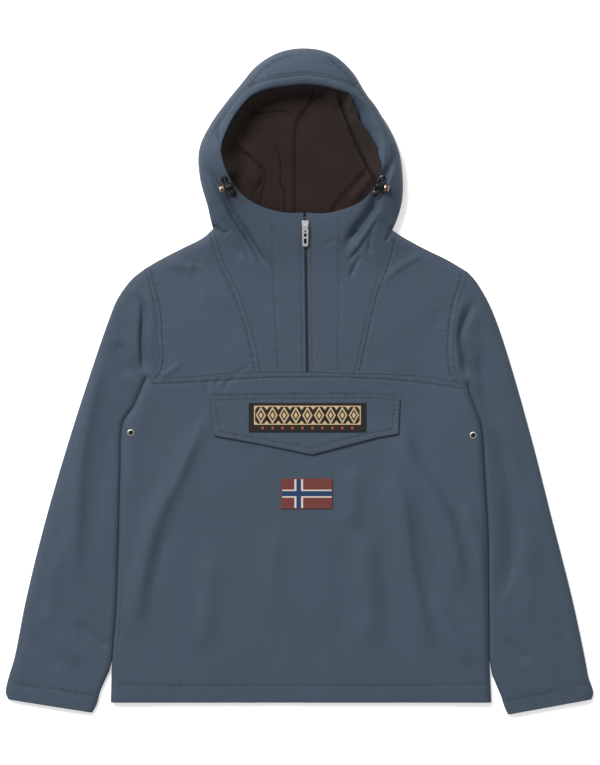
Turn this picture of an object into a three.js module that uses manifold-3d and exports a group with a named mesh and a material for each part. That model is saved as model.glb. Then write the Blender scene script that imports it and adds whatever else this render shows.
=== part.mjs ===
// A padded pullover anorak with a half zip, laid flat on its back.
// Millimetres. +X is to the right of the picture, +Y runs from hem to hood, +Z is up off the surface.
// The origin is on the surface, under the middle of the garment.

import * as THREE from 'three';
import { mergeVertices } from 'three/addons/utils/BufferGeometryUtils.js';
import Module from 'manifold-3d';

const wasm = await Module();
wasm.setup();

// Driving sizes

const seamGap = 0.4;
const layerGap = 0.4;
const wall = {
  shell: 3.6, hood: 3.4, band: 3.2, back: 4, sleeve: 3.4, lining: 2.8, flap: 2.4, tape: 2.4, badge: 1.2,
};
const rest = { middle: 9.6, side: 11.8, sideReach: 60, liningFloor: 8 };
const neckY = 240.6;
const edgeSteps = [0, 2.5, 6, 11];
const underFold = [[0, 16], [2, 9], [7, 3], [14, 0.8], [22, 0]];
const besideBodyGap = 1.7;
const cuffFreeY = -445;
const sleeveHeadNudge = 0.6;
const crossRows = [0, 0.016, 0.042, 0.08, 0.15, 0.24, 0.34, 0.44, 0.54, 0.64, 0.74, 0.84, 0.92, 0.958, 0.984, 1];
const liningRows = [0, 0.08, 0.17, 0.28, 0.4, 0.52, 0.64, 0.76, 0.87, 0.94, 1];

// Rolled edges: how far in the roll reaches, and how high the edge itself lies
const roll = {
  side: { reach: 13, height: 7.8 },
  shoulder: { reach: 16, height: 7.8 },
  sleeve: { reach: 16, height: 6.2 },
  sleeveInner: { reach: 9, height: 6.6 },
  hood: { reach: 42, height: 16 },
};

// Outlines, each point [x, y] on the surface, from the armpit or the shoulder downwards

const left = {
  sign: -1,
  shoulderPoint: [-244, 179],
  armhole: [[-244, 179], [-236, 150], [-226, 105], [-224, 66], [-222, 38], [-229, 15], [-243, 5]],
  side: [[-243, 5], [-252, -16], [-263, -40], [-279, -65], [-283, -139], [-286, -260], [-290, -365],
    [-296, -440], [-298, -506]],
  shoulder: [[-220, 193], [-185, 211], [-152, 228]],
  sleeveOuter: [[-244, 179], [-266, 161], [-288, 130], [-301, 98], [-323, 35], [-364, -92], [-401, -218],
    [-432, -344], [-450, -435], [-459, -465], [-464, -490], [-460, -501]],
  sleeveInnerEnd: [[-300, -456], [-307, -471], [-315, -490], [-320, -509], [-327, -522]],
  front: { foot: [-61, 10], points: [[-71, 63], [-86, 114], [-100, 150], [-119, 188]] },
  neckAngle: 220.7,
};

const right = {
  sign: 1,
  shoulderPoint: [265, 174],
  armhole: [[265, 174], [251, 147], [243, 118], [239, 77], [238, 44], [246, 14], [266, -4]],
  side: [[266, -4], [269, -17], [277, -40], [287, -68], [293, -150], [298, -234], [299, -330],
    [300, -440], [303, -506]],
  shoulder: [[233, 193], [200, 209], [165, 228]],
  sleeveOuter: [[265, 174], [277, 161], [296, 130], [310, 98], [331, 35], [367, -92], [399, -218],
    [431, -344], [451, -438], [456, -465], [464, -491], [461, -501]],
  sleeveInnerEnd: [[304, -462], [310, -477], [318, -496], [323, -512], [329, -525]],
  front: { foot: [86, 9], points: [[96, 58], [107, 109], [118, 149], [133, 188]] },
  neckAngle: -42.8,
};

const chestPoints = [[-243, 5], [-173, 4], [-113, 9], [9, 11], [91, 9], [190, 4], [266, -4]];
const zipPoints = [[12.5, 11], [11, 130], [9, 253], [8, 268]];

// Face opening and hood outline, measured about the middle of the opening.
// Each row: angle in degrees, radius of the rim, radius of the hood's outline, height of the rim.

const face = { x: 9, y: 367 };
const hoodRows = [
  { angle: -45, rim: 120, outline: 189, height: 29 },
  { angle: -30, rim: 125, outline: 175, height: 36 },
  { angle: -15, rim: 125, outline: 159, height: 43 },
  { angle: 0, rim: 124, outline: 147, height: 46 },
  { angle: 15, rim: 120, outline: 136, height: 46 },
  { angle: 30, rim: 118, outline: 129, height: 44 },
  { angle: 45, rim: 115, outline: 131, height: 43 },
  { angle: 60, rim: 108, outline: 144, height: 43 },
  { angle: 75, rim: 104, outline: 156, height: 42 },
  { angle: 90, rim: 103, outline: 159, height: 42 },
  { angle: 105, rim: 104, outline: 158, height: 42 },
  { angle: 120, rim: 111, outline: 152, height: 43 },
  { angle: 135, rim: 119, outline: 144, height: 44 },
  { angle: 150, rim: 122, outline: 145, height: 45 },
  { angle: 165, rim: 127, outline: 154, height: 46 },
  { angle: 180, rim: 132, outline: 167, height: 46 },
  { angle: 195, rim: 129, outline: 172, height: 42 },
  { angle: 210, rim: 125, outline: 178, height: 35 },
  { angle: 225, rim: 118, outline: 196, height: 28 },
  { angle: 240, rim: 110, outline: 200, height: 23 },
  { angle: 255, rim: 104, outline: 200, height: 20 },
  { angle: 270, rim: 100, outline: 200, height: 19 },
  { angle: 285, rim: 105, outline: 200, height: 20 },
  { angle: 300, rim: 111, outline: 200, height: 23 },
];
const rowStep = 15;
const crownSeam = { left: 128, right: 52 };
const crownFoot = { left: [-95, neckY], right: [107, neckY] };
const band = { start: -18, end: 181, width: 12 };
const facing = [[-18, 3], [0, 8], [12, 15], [28, 22], [40, 14], [52, 3]];
const liningSeam = {
  left: [[24, 452], [12, 433], [-2, 417], [-6, 393], [-6, 335], [-5, 258]],
  right: [[60, 452], [75, 409], [107, 338], [122, 311]],
};

// The largest folds: path, half width, and height above the cloth (below it where negative)

const folds = [
  // Body
  { path: [[-145, -33], [-189, -139], [-225, -218], [-246, -300], [-263, -419]], width: 13, height: 3.5 },
  { path: [[-137, -261], [-146, -365], [-157, -430]], width: 16, height: 2 },
  { path: [[-42, -213], [-42, -392]], width: 18, height: 1.6 },
  { path: [[88, -128], [80, -234]], width: 16, height: 1.8 },
  { path: [[100, -234], [116, -430]], width: 16, height: 2.4 },
  { path: [[140, -119], [164, -207], [176, -300], [211, -444]], width: 14, height: 3 },
  { path: [[159, -55], [175, -128], [222, -198], [245, -260], [258, -340]], width: 13, height: 3.4 },
  { path: [[209, -329], [238, -392], [273, -455]], width: 11, height: 2.6 },
  // Yokes
  { path: [[-209, 190], [-162, 177]], width: 9, height: 2.4 },
  { path: [[-162, 141], [-105, 114]], width: 12, height: 2 },
  { path: [[206, 201], [159, 177], [127, 145]], width: 10, height: 2.6 },
  { path: [[-222, 8], [-186, 32]], width: 7, height: 2 },
  // Sleeve heads: a swelling beside the armhole seam, then the crease where the sleeve drops
  { path: [[-243, 150], [-236, 100], [-237, 50], [-236, 16]], width: 8, height: 2.6 },
  { path: [[-258, 142], [-247, 112], [-249, 77], [-248, 40], [-246, 8]], width: 5.5, height: -5 },
  { path: [[262, 140], [250, 100], [250, 55], [256, 12]], width: 8, height: 2.6 },
  { path: [[277, 120], [261, 90], [262, 50], [266, 6]], width: 5.5, height: -5 },
  // Sleeves
  { path: [[-306, 60], [-322, 0], [-346, -123], [-352, -220], [-357, -340]], width: 14, height: 3 },
  { path: [[-292, 66], [-282, 4]], width: 8, height: -1.6 },
  { path: [[-413, -349], [-374, -412], [-342, -452]], width: 12, height: 2.6 },
  { path: [[312, -70], [324, -119], [338, -207], [336, -300], [318, -346]], width: 11, height: -3 },
  { path: [[276, 66], [284, -13], [300, -76]], width: 9, height: 2.2 },
  // Neck and hood
  { path: [[-163, 350], [-137, 322], [-118, 292], [-83, 232], [-59, 190]], width: 6.5, height: -7 },
  { path: [[-137, 253], [-86, 190]], width: 8, height: -3.4 },
  { path: [[152, 378], [148, 350], [131, 314], [111, 269], [83, 231], [70, 196]], width: 7, height: -8 },
  { path: [[138, 276], [108, 236], [86, 196]], width: 8, height: 3.4 },
  { path: [[-85, 468], [-58, 501], [-32, 516], [-10, 522]], width: 5, height: -2.4 },
  { path: [[43, 512], [67, 490], [80, 475], [92, 456]], width: 6, height: -3.2 },
];

// Folds of the hood's lining
const liningFolds = [
  { path: [[-82, 374], [-50, 330], [-58, 291]], width: 8, height: 2.6 },
  { path: [[-36, 378], [-31, 330], [-27, 290]], width: 6, height: -1.6 },
  { path: [[107, 338], [85, 312], [64, 285]], width: 7, height: 2.6 },
  { path: [[60, 452], [75, 409], [107, 338]], width: 7, height: -2.2 },
];

// Pocket flap, badges, fittings

const flap = {
  top: [[-141, -22], [9, -20], [148, -22], [159, -28]],
  bottom: [[-135, -85], [-73, -96], [20, -115], [122, -88], [156, -82]],
};
const labelBadge = { x0: -80, x1: 105, y0: -79, y1: -33 };
const flagBadge = { x0: -29, x1: 52, y0: -200, y1: -152 };
const eyelet = { outer: 6, hole: 3.2, rim: 1.5 };
const sideEyelets = { left: [-266, -80], right: [274, -84] };
const drawcord = {
  radius: 1.4,
  bore: 1.9,
  left: { top: [-118, 318.5], lock: [-111, 306.5], foot: [-104, 296], button: [-123, 303] },
  right: { top: [130.5, 319.5], lock: [125.5, 307], foot: [119.5, 296], button: [138, 304] },
};
// Profiles of a cord lock and its button: radius, and place along the axis from the lock's middle
const cordLock = {
  clearance: 0.4,
  body: [[0, -7], [3.8, -7], [5.4, -6], [5.9, -3], [5.9, 3], [5.2, 5.6], [4.2, 6.4], [0, 6.4]],
  button: [[0, 6.8], [3.2, 6.8], [6.2, 7.8], [6.6, 9.4], [6.6, 10.8], [5.7, 11.5], [6.3, 12.3], [6.1, 14], [4.4, 15.6],
    [2.6, 15.8], [2.2, 14.6], [0, 14.4]],
};
const slider = { y: 247, width: 11, length: 13, plate: 2.6, keel: 2.2, lug: 1.1, pin: 0.9, pinRise: 2.9 };
const pull = { length: 33.5, width: 10, thickness: 1.6, eye: 2.3, barrel: 4, bore: 1.25, sag: 7 };

// Curves and small sums

class Path {
  constructor(points, smooth = true) {
    this.points = smooth ? Path.round(points) : points;
    this.reach = [0];
    for (let i = 1; i < this.points.length; i += 1) {
      const [ax, ay] = this.points[i - 1];
      const [bx, by] = this.points[i];
      this.reach.push(this.reach[i - 1] + Math.hypot(bx - ax, by - ay));
    }
    this.length = this.reach.at(-1);
  }

  static round(points) {
    if (points.length < 3) return points;
    const knots = points.map(([x, y]) => new THREE.Vector3(x, y, 0));
    const spline = new THREE.CatmullRomCurve3(knots, false, 'centripetal');
    return spline.getPoints((points.length - 1) * 10).map((p) => [p.x, p.y]);
  }

  at(t) {
    const goal = THREE.MathUtils.clamp(t, 0, 1) * this.length;
    let i = 1;
    while (i < this.reach.length - 1 && this.reach[i] < goal) i += 1;
    const f = (goal - this.reach[i - 1]) / (this.reach[i] - this.reach[i - 1]);
    const [ax, ay] = this.points[i - 1];
    const [bx, by] = this.points[i];
    return [ax + (bx - ax) * f, ay + (by - ay) * f];
  }

  // Distance from a point, and how far along the path its nearest place is
  near(x, y) {
    let best = { distance: Infinity, t: 0 };
    for (let i = 1; i < this.points.length; i += 1) {
      const [ax, ay] = this.points[i - 1];
      const [bx, by] = this.points[i];
      const span = this.reach[i] - this.reach[i - 1];
      const along = ((x - ax) * (bx - ax) + (y - ay) * (by - ay)) / span;
      const s = THREE.MathUtils.clamp(along, 0, span);
      const distance = Math.hypot(x - ax - ((bx - ax) * s) / span, y - ay - ((by - ay) * s) / span);
      if (distance < best.distance) best = { distance, t: (this.reach[i - 1] + s) / this.length };
    }
    return best;
  }

  part(t0, t1, steps = 40) {
    return new Path(ramp(steps).map((f) => this.at(t0 + (t1 - t0) * f)), false);
  }

  // The same path, moved sideways: positive is to the left of its direction
  beside(shift) {
    const last = this.points.length - 1;
    return new Path(this.points.map(([x, y], i) => {
      const [ax, ay] = this.points[Math.max(0, i - 1)];
      const [bx, by] = this.points[Math.min(last, i + 1)];
      const span = Math.hypot(bx - ax, by - ay);
      return [x - ((by - ay) / span) * shift, y + ((bx - ax) / span) * shift];
    }), false);
  }

  static join(...paths) {
    return new Path(paths.flatMap((p) => p.points), false);
  }
}

function ramp(steps) {
  return Array.from({ length: steps + 1 }, (_, i) => i / steps);
}

// Places from 0 to 1 along a stretch, closer together at the ends that roll over
function stations(length, step, { start = false, end = false } = {}) {
  const rim = edgeSteps.slice(0, -1);
  const inner = edgeSteps.at(-1);
  const from = start ? inner : 0;
  const to = length - (end ? inner : 0);
  const count = Math.max(1, Math.round((to - from) / step));
  const middle = ramp(count).map((f) => from + (to - from) * f);
  const head = start ? rim : [];
  const tail = end ? rim.map((d) => length - d).reverse() : [];
  return [...head, ...middle, ...tail].map((d) => d / length);
}

function mix(a, b, f) {
  return a + (b - a) * f;
}

function ease(f) {
  const s = THREE.MathUtils.clamp(f, 0, 1);
  return s * s * (3 - 2 * s);
}

function wrap(angle) {
  return ((angle + 45) % 360 + 360) % 360 - 45;
}

// One column of the hood table at any angle, on a smooth periodic curve
function hoodSize(column, angle) {
  const place = (wrap(angle) + 45) / rowStep;
  const i = Math.floor(place);
  const f = place - i;
  const value = (k) => hoodRows[(i + k + hoodRows.length) % hoodRows.length][column];
  const [a, b, c, d] = [value(-1), value(0), value(1), value(2)];
  return b + 0.5 * f * (c - a + f * (2 * a - 5 * b + 4 * c - d + f * (3 * (b - c) + d - a)));
}

function table(rows, value) {
  if (value <= rows[0][0]) return rows[0][1];
  for (let i = 1; i < rows.length; i += 1) {
    if (value <= rows[i][0]) {
      const f = (value - rows[i - 1][0]) / (rows[i][0] - rows[i - 1][0]);
      return mix(rows[i - 1][1], rows[i][1], ease(f));
    }
  }
  return rows.at(-1)[1];
}

function polar(angle, radius) {
  const turn = THREE.MathUtils.degToRad(angle);
  return [face.x + radius * Math.cos(turn), face.y + radius * Math.sin(turn)];
}

function aroundFace(x, y) {
  const angle = wrap(THREE.MathUtils.radToDeg(Math.atan2(y - face.y, x - face.x)));
  return { angle, radius: Math.hypot(x - face.x, y - face.y) };
}

// The height of the cloth's upper side

const foldPaths = folds.map((fold) => ({ ...fold, curve: new Path(fold.path) }));
const liningFoldPaths = liningFolds.map((fold) => ({ ...fold, curve: new Path(fold.path) }));

function foldHeight(list, x, y) {
  let height = 0;
  for (const fold of list) {
    const { distance, t } = fold.curve.near(x, y);
    const across = Math.exp(-((distance / fold.width) ** 2));
    height += fold.height * across * ease(t * 4) * ease((1 - t) * 4);
  }
  return height;
}

// Round the face opening the cloth climbs to the rim
function collarRise(x, y) {
  const { angle, radius } = aroundFace(x, y);
  const fromChin = Math.abs(wrap(angle) - 270) > 180
    ? 360 - Math.abs(wrap(angle) - 270)
    : Math.abs(wrap(angle) - 270);
  const reach = table([[0, 100], [48, 135], [56, 150], [66, 420]], fromChin);
  const away = (radius - hoodSize('rim', angle)) / reach;
  return (hoodSize('height', angle) - rest.middle) * ease(1 - away);
}

function clothHeight(x, y, edges) {
  let base = rest.middle + foldHeight(foldPaths, x, y) + collarRise(x, y);
  let lowest = Infinity;
  for (const edge of edges.filter((e) => e.puff)) {
    const away = edge.path.near(x, y).distance / rest.sideReach;
    base += (rest.side - rest.middle) * Math.exp(-away * away);
  }
  for (const edge of edges) {
    const inside = Math.max(0.05, edge.path.near(x, y).distance / edge.reach);
    const turn = inside >= 1 ? 1 : Math.sqrt(1 - (1 - inside) ** 2);
    lowest = Math.min(lowest, edge.height + (base - edge.height) * turn);
  }
  return Math.min(base, lowest);
}

// Edges shared by the pieces

const hoodOutline = new Path(
  ramp(70).map((f) => {
    const angle = mix(left.neckAngle, right.neckAngle, f);
    return polar(angle, hoodSize('outline', angle));
  }),
  false,
);

function finishSide(side) {
  const notch = polar(side.neckAngle, hoodSize('outline', side.neckAngle));
  const rimCorner = polar(side.neckAngle, hoodSize('rim', side.neckAngle));
  const shoulder = new Path([side.shoulderPoint, ...side.shoulder, notch]);
  const bodySide = new Path(side.side);
  const sleeveOuter = new Path(side.sleeveOuter);
  const besideBody = bodySide.beside(side.sign * besideBodyGap).points.filter(([, y]) => y > cuffFreeY);
  const sleeveInner = new Path([...besideBody, ...new Path(side.sleeveInnerEnd).points], false);
  const armhole = new Path(side.armhole);
  return { ...side, notch, rimCorner, shoulder, bodySide, sleeveOuter, sleeveInner, armholePath: armhole };
}

const sides = { left: finishSide(left), right: finishSide(right) };

const commonEdges = [
  { path: hoodOutline, ...roll.hood },
  { path: sides.left.shoulder, ...roll.shoulder },
  { path: sides.right.shoulder, ...roll.shoulder },
  { path: sides.left.sleeveOuter, ...roll.sleeve },
  { path: sides.right.sleeveOuter, ...roll.sleeve },
];
const frontEdges = [
  ...commonEdges,
  { path: sides.left.bodySide, puff: true, ...roll.side },
  { path: sides.right.bodySide, puff: true, ...roll.side },
];
const sleeveEdges = [
  ...commonEdges,
  { path: sides.left.sleeveInner, ...roll.sleeveInner },
  { path: sides.right.sleeveInner, ...roll.sleeveInner },
];

function frontTop(x, y) {
  return clothHeight(x, y, frontEdges);
}

// Beside the armhole seam the sleeve has the front's height, and farther out its own
function sleeveTop(x, y, side) {
  const away = ease(side.armholePath.near(x, y).distance / 30);
  return mix(frontTop(x, y), clothHeight(x, y, sleeveEdges), away);
}

function liningTop(x, y) {
  const { angle, radius } = aroundFace(x, y);
  const edge = liningEdge(angle);
  const slope = table([[-45, 30], [-10, 38], [55, 36], [75, 17], [120, 18], [170, 28], [240, 26]], angle);
  const q = THREE.MathUtils.clamp((edge.radius - radius) / slope, 0, 1);
  const fade = ease((edge.radius - radius) / 14);
  const height = mix(rest.liningFloor, edge.height, (1 - q) ** 2) + fade * foldHeight(liningFoldPaths, x, y);
  return Math.max(height, wall.hood + wall.lining + 0.6);
}

function facingWidth(angle) {
  return table(facing, wrap(angle));
}

// The lining meets the band's inner edge, and runs in under the front at the chin
function liningEdge(angle) {
  const turn = wrap(angle);
  const fromChin = Math.abs(turn < 90 ? turn + 90 : turn - 270);
  const under = ease((66 - fromChin) / 24);
  const rim = hoodSize('rim', turn);
  const lip = turn > band.start && turn < band.end ? facingWidth(turn) : 0;
  const drop = table([[0, 1], [3, 3], [22, 12]], lip);
  return {
    radius: rim - lip * (1 - under) - 1.8 + under * under * 14,
    height: mix(hoodSize('height', turn) - drop - 1, rest.liningFloor + 0.4, under),
  };
}

// Building closed pieces from an outer and an inner grid of points

function coons({ bottom, top, left: west, right: east }, us, vs) {
  const corner = [bottom.at(0), bottom.at(1), top.at(0), top.at(1)];
  return vs.map((v) => us.map((u) => [0, 1].map((i) => {
    const ruled = mix(bottom.at(u)[i], top.at(u)[i], v) + mix(west.at(v)[i], east.at(v)[i], u);
    const flat = mix(mix(corner[0][i], corner[1][i], u), mix(corner[2][i], corner[3][i], u), v);
    return ruled - flat;
  })));
}

// Draw the border of a flat grid in by half the seam gap
function shrink(grid) {
  const rows = grid.length - 1;
  const cols = grid[0].length - 1;
  const towards = ([x, y], [nx, ny]) => {
    const span = Math.hypot(nx - x, ny - y) || 1;
    return [x + ((nx - x) * seamGap) / 2 / span, y + ((ny - y) * seamGap) / 2 / span];
  };
  const step1 = grid.map((row, r) => row.map((p, c) => {
    if (c === 0) return towards(p, grid[r][1]);
    if (c === cols) return towards(p, grid[r][cols - 1]);
    return p;
  }));
  return step1.map((row, r) => row.map((p, c) => {
    if (r === 0) return towards(p, step1[1][c]);
    if (r === rows) return towards(p, step1[rows - 1][c]);
    return p;
  }));
}

function raise(grid, height) {
  return grid.map((row) => row.map(([x, y]) => new THREE.Vector3(x, y, height(x, y))));
}

function lower(grid, thickness) {
  return grid.map((row) => row.map((p) => new THREE.Vector3(p.x, p.y, p.z - thickness)));
}

// A closed solid between two grids; with around set, each row closes on itself
function solidBetween(outer, inner, around = false) {
  const rows = outer.length;
  const cols = outer[0].length;
  const positions = [...outer.flat(), ...inner.flat()].flatMap((p) => [p.x, p.y, p.z]);
  const index = [];
  const at = (layer, r, c) => layer * rows * cols + r * cols + (c % cols);
  const quad = (a, b, c, d) => index.push(a, b, c, a, c, d);
  const lastCol = around ? cols : cols - 1;
  for (let r = 0; r < rows - 1; r += 1) {
    for (let c = 0; c < lastCol; c += 1) {
      quad(at(0, r, c), at(0, r, c + 1), at(0, r + 1, c + 1), at(0, r + 1, c));
      quad(at(1, r, c), at(1, r + 1, c), at(1, r + 1, c + 1), at(1, r, c + 1));
    }
    if (!around) {
      quad(at(0, r, 0), at(0, r + 1, 0), at(1, r + 1, 0), at(1, r, 0));
      quad(at(0, r, lastCol), at(1, r, lastCol), at(1, r + 1, lastCol), at(0, r + 1, lastCol));
    }
  }
  for (let c = 0; c < lastCol; c += 1) {
    quad(at(0, 0, c), at(1, 0, c), at(1, 0, c + 1), at(0, 0, c + 1));
    quad(at(0, rows - 1, c), at(0, rows - 1, c + 1), at(1, rows - 1, c + 1), at(1, rows - 1, c));
  }
  const geometry = new THREE.BufferGeometry();
  geometry.setAttribute('position', new THREE.Float32BufferAttribute(positions, 3));
  geometry.setIndex(faceOut(positions, index));
  return geometry;
}

// Turn all faces over where the solid comes out inside out
function faceOut(positions, index) {
  let volume = 0;
  const corner = (i) => new THREE.Vector3().fromArray(positions, index[i] * 3);
  for (let i = 0; i < index.length; i += 3) {
    volume += corner(i).dot(corner(i + 1).cross(corner(i + 2)));
  }
  if (volume > 0) return index;
  return index.map((_, i) => index[i - (i % 3) + [0, 2, 1][i % 3]]);
}

function clothPatch(grid, height, thickness) {
  const top = raise(shrink(grid), height);
  return solidBetween(top, lower(top, thickness));
}

// Front panels

const chest = new Path(chestPoints);
const zipLine = new Path(zipPoints);
const zip = { half: 2, sink: 1.8, from: 0.012, to: 0.975 };
const zipEdge = {
  left: zipLine.beside(zip.half),
  right: zipLine.beside(-zip.half),
};
const zipFoot = {
  left: chest.near(...zipEdge.left.at(0)).t,
  right: chest.near(...zipEdge.right.at(0)).t,
};

function seamUp(side) {
  const t = chest.near(...side.front.foot).t;
  return { t, path: new Path([chest.at(t), ...side.front.points, side.notch]) };
}

function bodyFront() {
  const hem = new Path([sides.left.side.at(-1), sides.right.side.at(-1)], false);
  const up = (side) => new Path([...side.bodySide.points].reverse(), false);
  const us = stations(hem.length, 29, { start: true, end: true });
  const vs = ramp(18).map((f) => f * (1.35 - 0.35 * f));
  const outline = { bottom: hem, top: chest, left: up(sides.left), right: up(sides.right) };
  return clothPatch(coons(outline, us, vs), frontTop, wall.shell);
}

function yoke(side) {
  const seam = seamUp(side);
  const armhole = new Path([...side.armholePath.points].reverse(), false);
  const isLeft = side.sign < 0;
  const shoulder = isLeft ? side.shoulder : new Path([...side.shoulder.points].reverse(), false);
  const bottom = isLeft ? chest.part(0, seam.t) : chest.part(seam.t, 1);
  const outline = {
    bottom,
    top: shoulder,
    left: isLeft ? armhole : seam.path,
    right: isLeft ? seam.path : armhole,
  };
  return clothPatch(coons(outline, stations(bottom.length, 20), crossRows), frontTop, wall.shell);
}

// The centre front runs from the slanted seam to the zip, and up to the rim
function inset(side) {
  const seam = seamUp(side);
  const isLeft = side.sign < 0;
  const rimStart = aroundFace(...side.rimCorner).angle;
  const zipTop = (isLeft ? zipEdge.left : zipEdge.right).at(1);
  const rimEnd = aroundFace(...zipTop).angle;
  const from = isLeft ? rimStart : rimStart + 360;
  const rim = ramp(24).map((f) => {
    const angle = mix(from, rimEnd, f);
    return polar(angle, hoodSize('rim', angle));
  });
  const top = new Path([side.notch, ...rim], false);
  const zip = isLeft ? zipEdge.left : zipEdge.right;
  const zipSide = new Path([chest.at(isLeft ? zipFoot.left : zipFoot.right), ...zip.points.slice(1, -1),
    rim.at(-1)], false);
  const outline = isLeft
    ? { bottom: chest.part(seam.t, zipFoot.left), top, left: seam.path, right: zipSide }
    : {
      bottom: chest.part(zipFoot.right, seam.t),
      top: new Path([...top.points].reverse(), false),
      left: zipSide,
      right: seam.path,
    };
  return clothPatch(coons(outline, ramp(8), crossRows), frontTop, wall.shell);
}

// Back panel: one flat sheet under the front, with softened edges

function bodyBack() {
  const { left: west, right: east } = sides;
  const down = [...west.shoulder.points].reverse();
  const outline = [
    ...down,
    ...west.armholePath.points.slice(1),
    ...west.bodySide.beside(-west.sign * besideBodyGap).points.slice(1),
    ...[...east.bodySide.beside(-east.sign * besideBodyGap).points].reverse(),
    ...[...east.armholePath.points].reverse().slice(1),
    ...east.shoulder.points.slice(1),
  ];
  const closed = new Path([...outline, outline[0]], false);
  const count = 88;
  const sparse = ramp(count).slice(0, -1).map((f) => closed.at(f));
  const shape = new THREE.Shape(sparse.map(([x, y]) => new THREE.Vector2(x, Math.min(y, neckY - 0.6))));
  const soft = 1.2;
  const geometry = new THREE.ExtrudeGeometry(shape, {
    depth: wall.back - 2 * soft,
    bevelThickness: soft,
    bevelSize: soft,
    bevelOffset: -soft,
    bevelSegments: 1,
    steps: 1,
  });
  geometry.translate(0, 0, soft);
  return geometry;
}

// Sleeves: flat tubes. Each row says how far down the outer and the inner edge its section stands.

const sleeveRows = [
  { outer: 0, inner: 0 },
  { outer: 0.018, inner: 0.006 },
  { outer: 0.038, inner: 0.013 },
  { outer: 0.06, inner: 0.02 },
  { outer: 0.085, inner: 0.028 },
  { outer: 0.115, inner: 0.04 },
  { outer: 0.15, inner: 0.06 },
  { outer: 0.195, inner: 0.09 },
  { outer: 0.245, inner: 0.125 },
  { outer: 0.3, inner: 0.165 },
  { outer: 0.37, inner: 0.22 },
  { outer: 0.45, inner: 0.31 },
  { outer: 0.53, inner: 0.41 },
  { outer: 0.61, inner: 0.51 },
  { outer: 0.69, inner: 0.615 },
  { outer: 0.77, inner: 0.72 },
  { outer: 0.85, inner: 0.82 },
  { outer: 0.92, inner: 0.905 },
  { outer: 0.965, inner: 0.96 },
  { outer: 1, inner: 1 },
];

function sleevePlan(side, row, u) {
  const chord = [side.sleeveOuter.at(row.outer), side.sleeveInner.at(row.inner)];
  const start = side.armholePath.beside(side.sign * (seamGap / 2));
  const bend = (1 - row.outer) ** 2;
  return [0, 1].map((i) => {
    const straight = mix(chord[0][i], chord[1][i], u);
    const bow = start.at(u)[i] - mix(start.at(0)[i], start.at(1)[i], u);
    return straight + bow * bend;
  });
}

function sleeve(side) {
  const outer = [];
  const inner = [];
  for (const [k, row] of sleeveRows.entries()) {
    const nudge = k === 0 ? side.sign * sleeveHeadNudge : 0;
    const spot = (u) => {
      const [x, y] = sleevePlan(side, row, u);
      return [x + nudge, y];
    };
    const [a, b] = [spot(0), spot(1)];
    const inset0 = wall.sleeve / Math.hypot(b[0] - a[0], b[1] - a[1]);
    const topRow = [];
    const topInner = [];
    for (const u of crossRows) {
      const [x, y] = spot(u);
      topRow.push(new THREE.Vector3(x, y, sleeveTop(x, y, side)));
      const [ix, iy] = spot(mix(inset0, 1 - inset0, u));
      const z = Math.max(sleeveTop(ix, iy, side) - wall.sleeve, wall.sleeve + 1);
      topInner.push(new THREE.Vector3(ix, iy, z));
    }
    const under = [0.99, 0.7, 0.3, 0.01];
    const bottomRow = under.map((u) => new THREE.Vector3(...spot(u), 0));
    const bottomInner = under.map((u) => new THREE.Vector3(...spot(mix(inset0, 1 - inset0, u)), wall.sleeve));
    outer.push([...topRow, ...bottomRow]);
    inner.push([...topInner, ...bottomInner]);
  }
  return solidBetween(outer, inner, true);
}

// Hood panels. A section runs out from the band seam, over the outer fold and back under to its foot.

function bandWidth(angle) {
  const turn = wrap(angle);
  if (turn < band.start || turn > band.end) return 0;
  const room = hoodSize('outline', turn) - hoodSize('rim', turn);
  const ends = Math.min(ease((turn - band.start) / 14), ease((band.end - turn) / 14));
  return Math.min(band.width, room * 0.55) * mix(0.4, 1, ends);
}

function crossRay(angle, [ax, ay], [bx, by]) {
  const turn = THREE.MathUtils.degToRad(angle);
  const [dx, dy] = [Math.cos(turn), Math.sin(turn)];
  const bottom = dx * (by - ay) - dy * (bx - ax);
  return ((ax - face.x) * (by - ay) - (ay - face.y) * (bx - ax)) / bottom;
}

// A side panel starts at the band seam, and past the band's ends at the rim
function sideSeamRadius(angle) {
  const turn = wrap(angle);
  const held = THREE.MathUtils.clamp(turn, band.start, band.end);
  const past = ease(1 - Math.abs(turn - held) / 6);
  return hoodSize('rim', turn) + (bandWidth(held) + seamGap / 2) * past;
}

const footRadius = 27;
function crownCorner(name) {
  const angle = crownSeam[name];
  return polar(angle, hoodSize('outline', angle) - footRadius);
}

// Section of a hood panel as [radius, height] pairs, from the inner seam to the start of the floor part
function hoodSection(angle, from, heightAt) {
  const outline = hoodSize('outline', angle);
  const width = outline - from;
  const over = [1, 0.78, 0.56, 0.35, 0.17, 0.04].map((f) => {
    const radius = outline - width * f;
    return [radius, heightAt(...polar(angle, radius))];
  });
  const under = underFold.map(([d, z]) => [outline - d, z]);
  return [...over, ...under];
}

function offsetSection(section, thickness) {
  const last = section.length - 1;
  return section.map(([r, z], i) => {
    if (i === 0) return [r, z - thickness];
    if (i === last) return [r, z + thickness];
    const [ar, az] = section[i - 1];
    const [br, bz] = section[i + 1];
    const span = Math.hypot(br - ar, bz - az);
    return [r + ((bz - az) / span) * thickness, z - ((br - ar) / span) * thickness];
  });
}

function placeSection(angle, section) {
  return section.map(([r, z]) => {
    const [x, y] = polar(angle, r);
    return new THREE.Vector3(x, y, z);
  });
}

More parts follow.
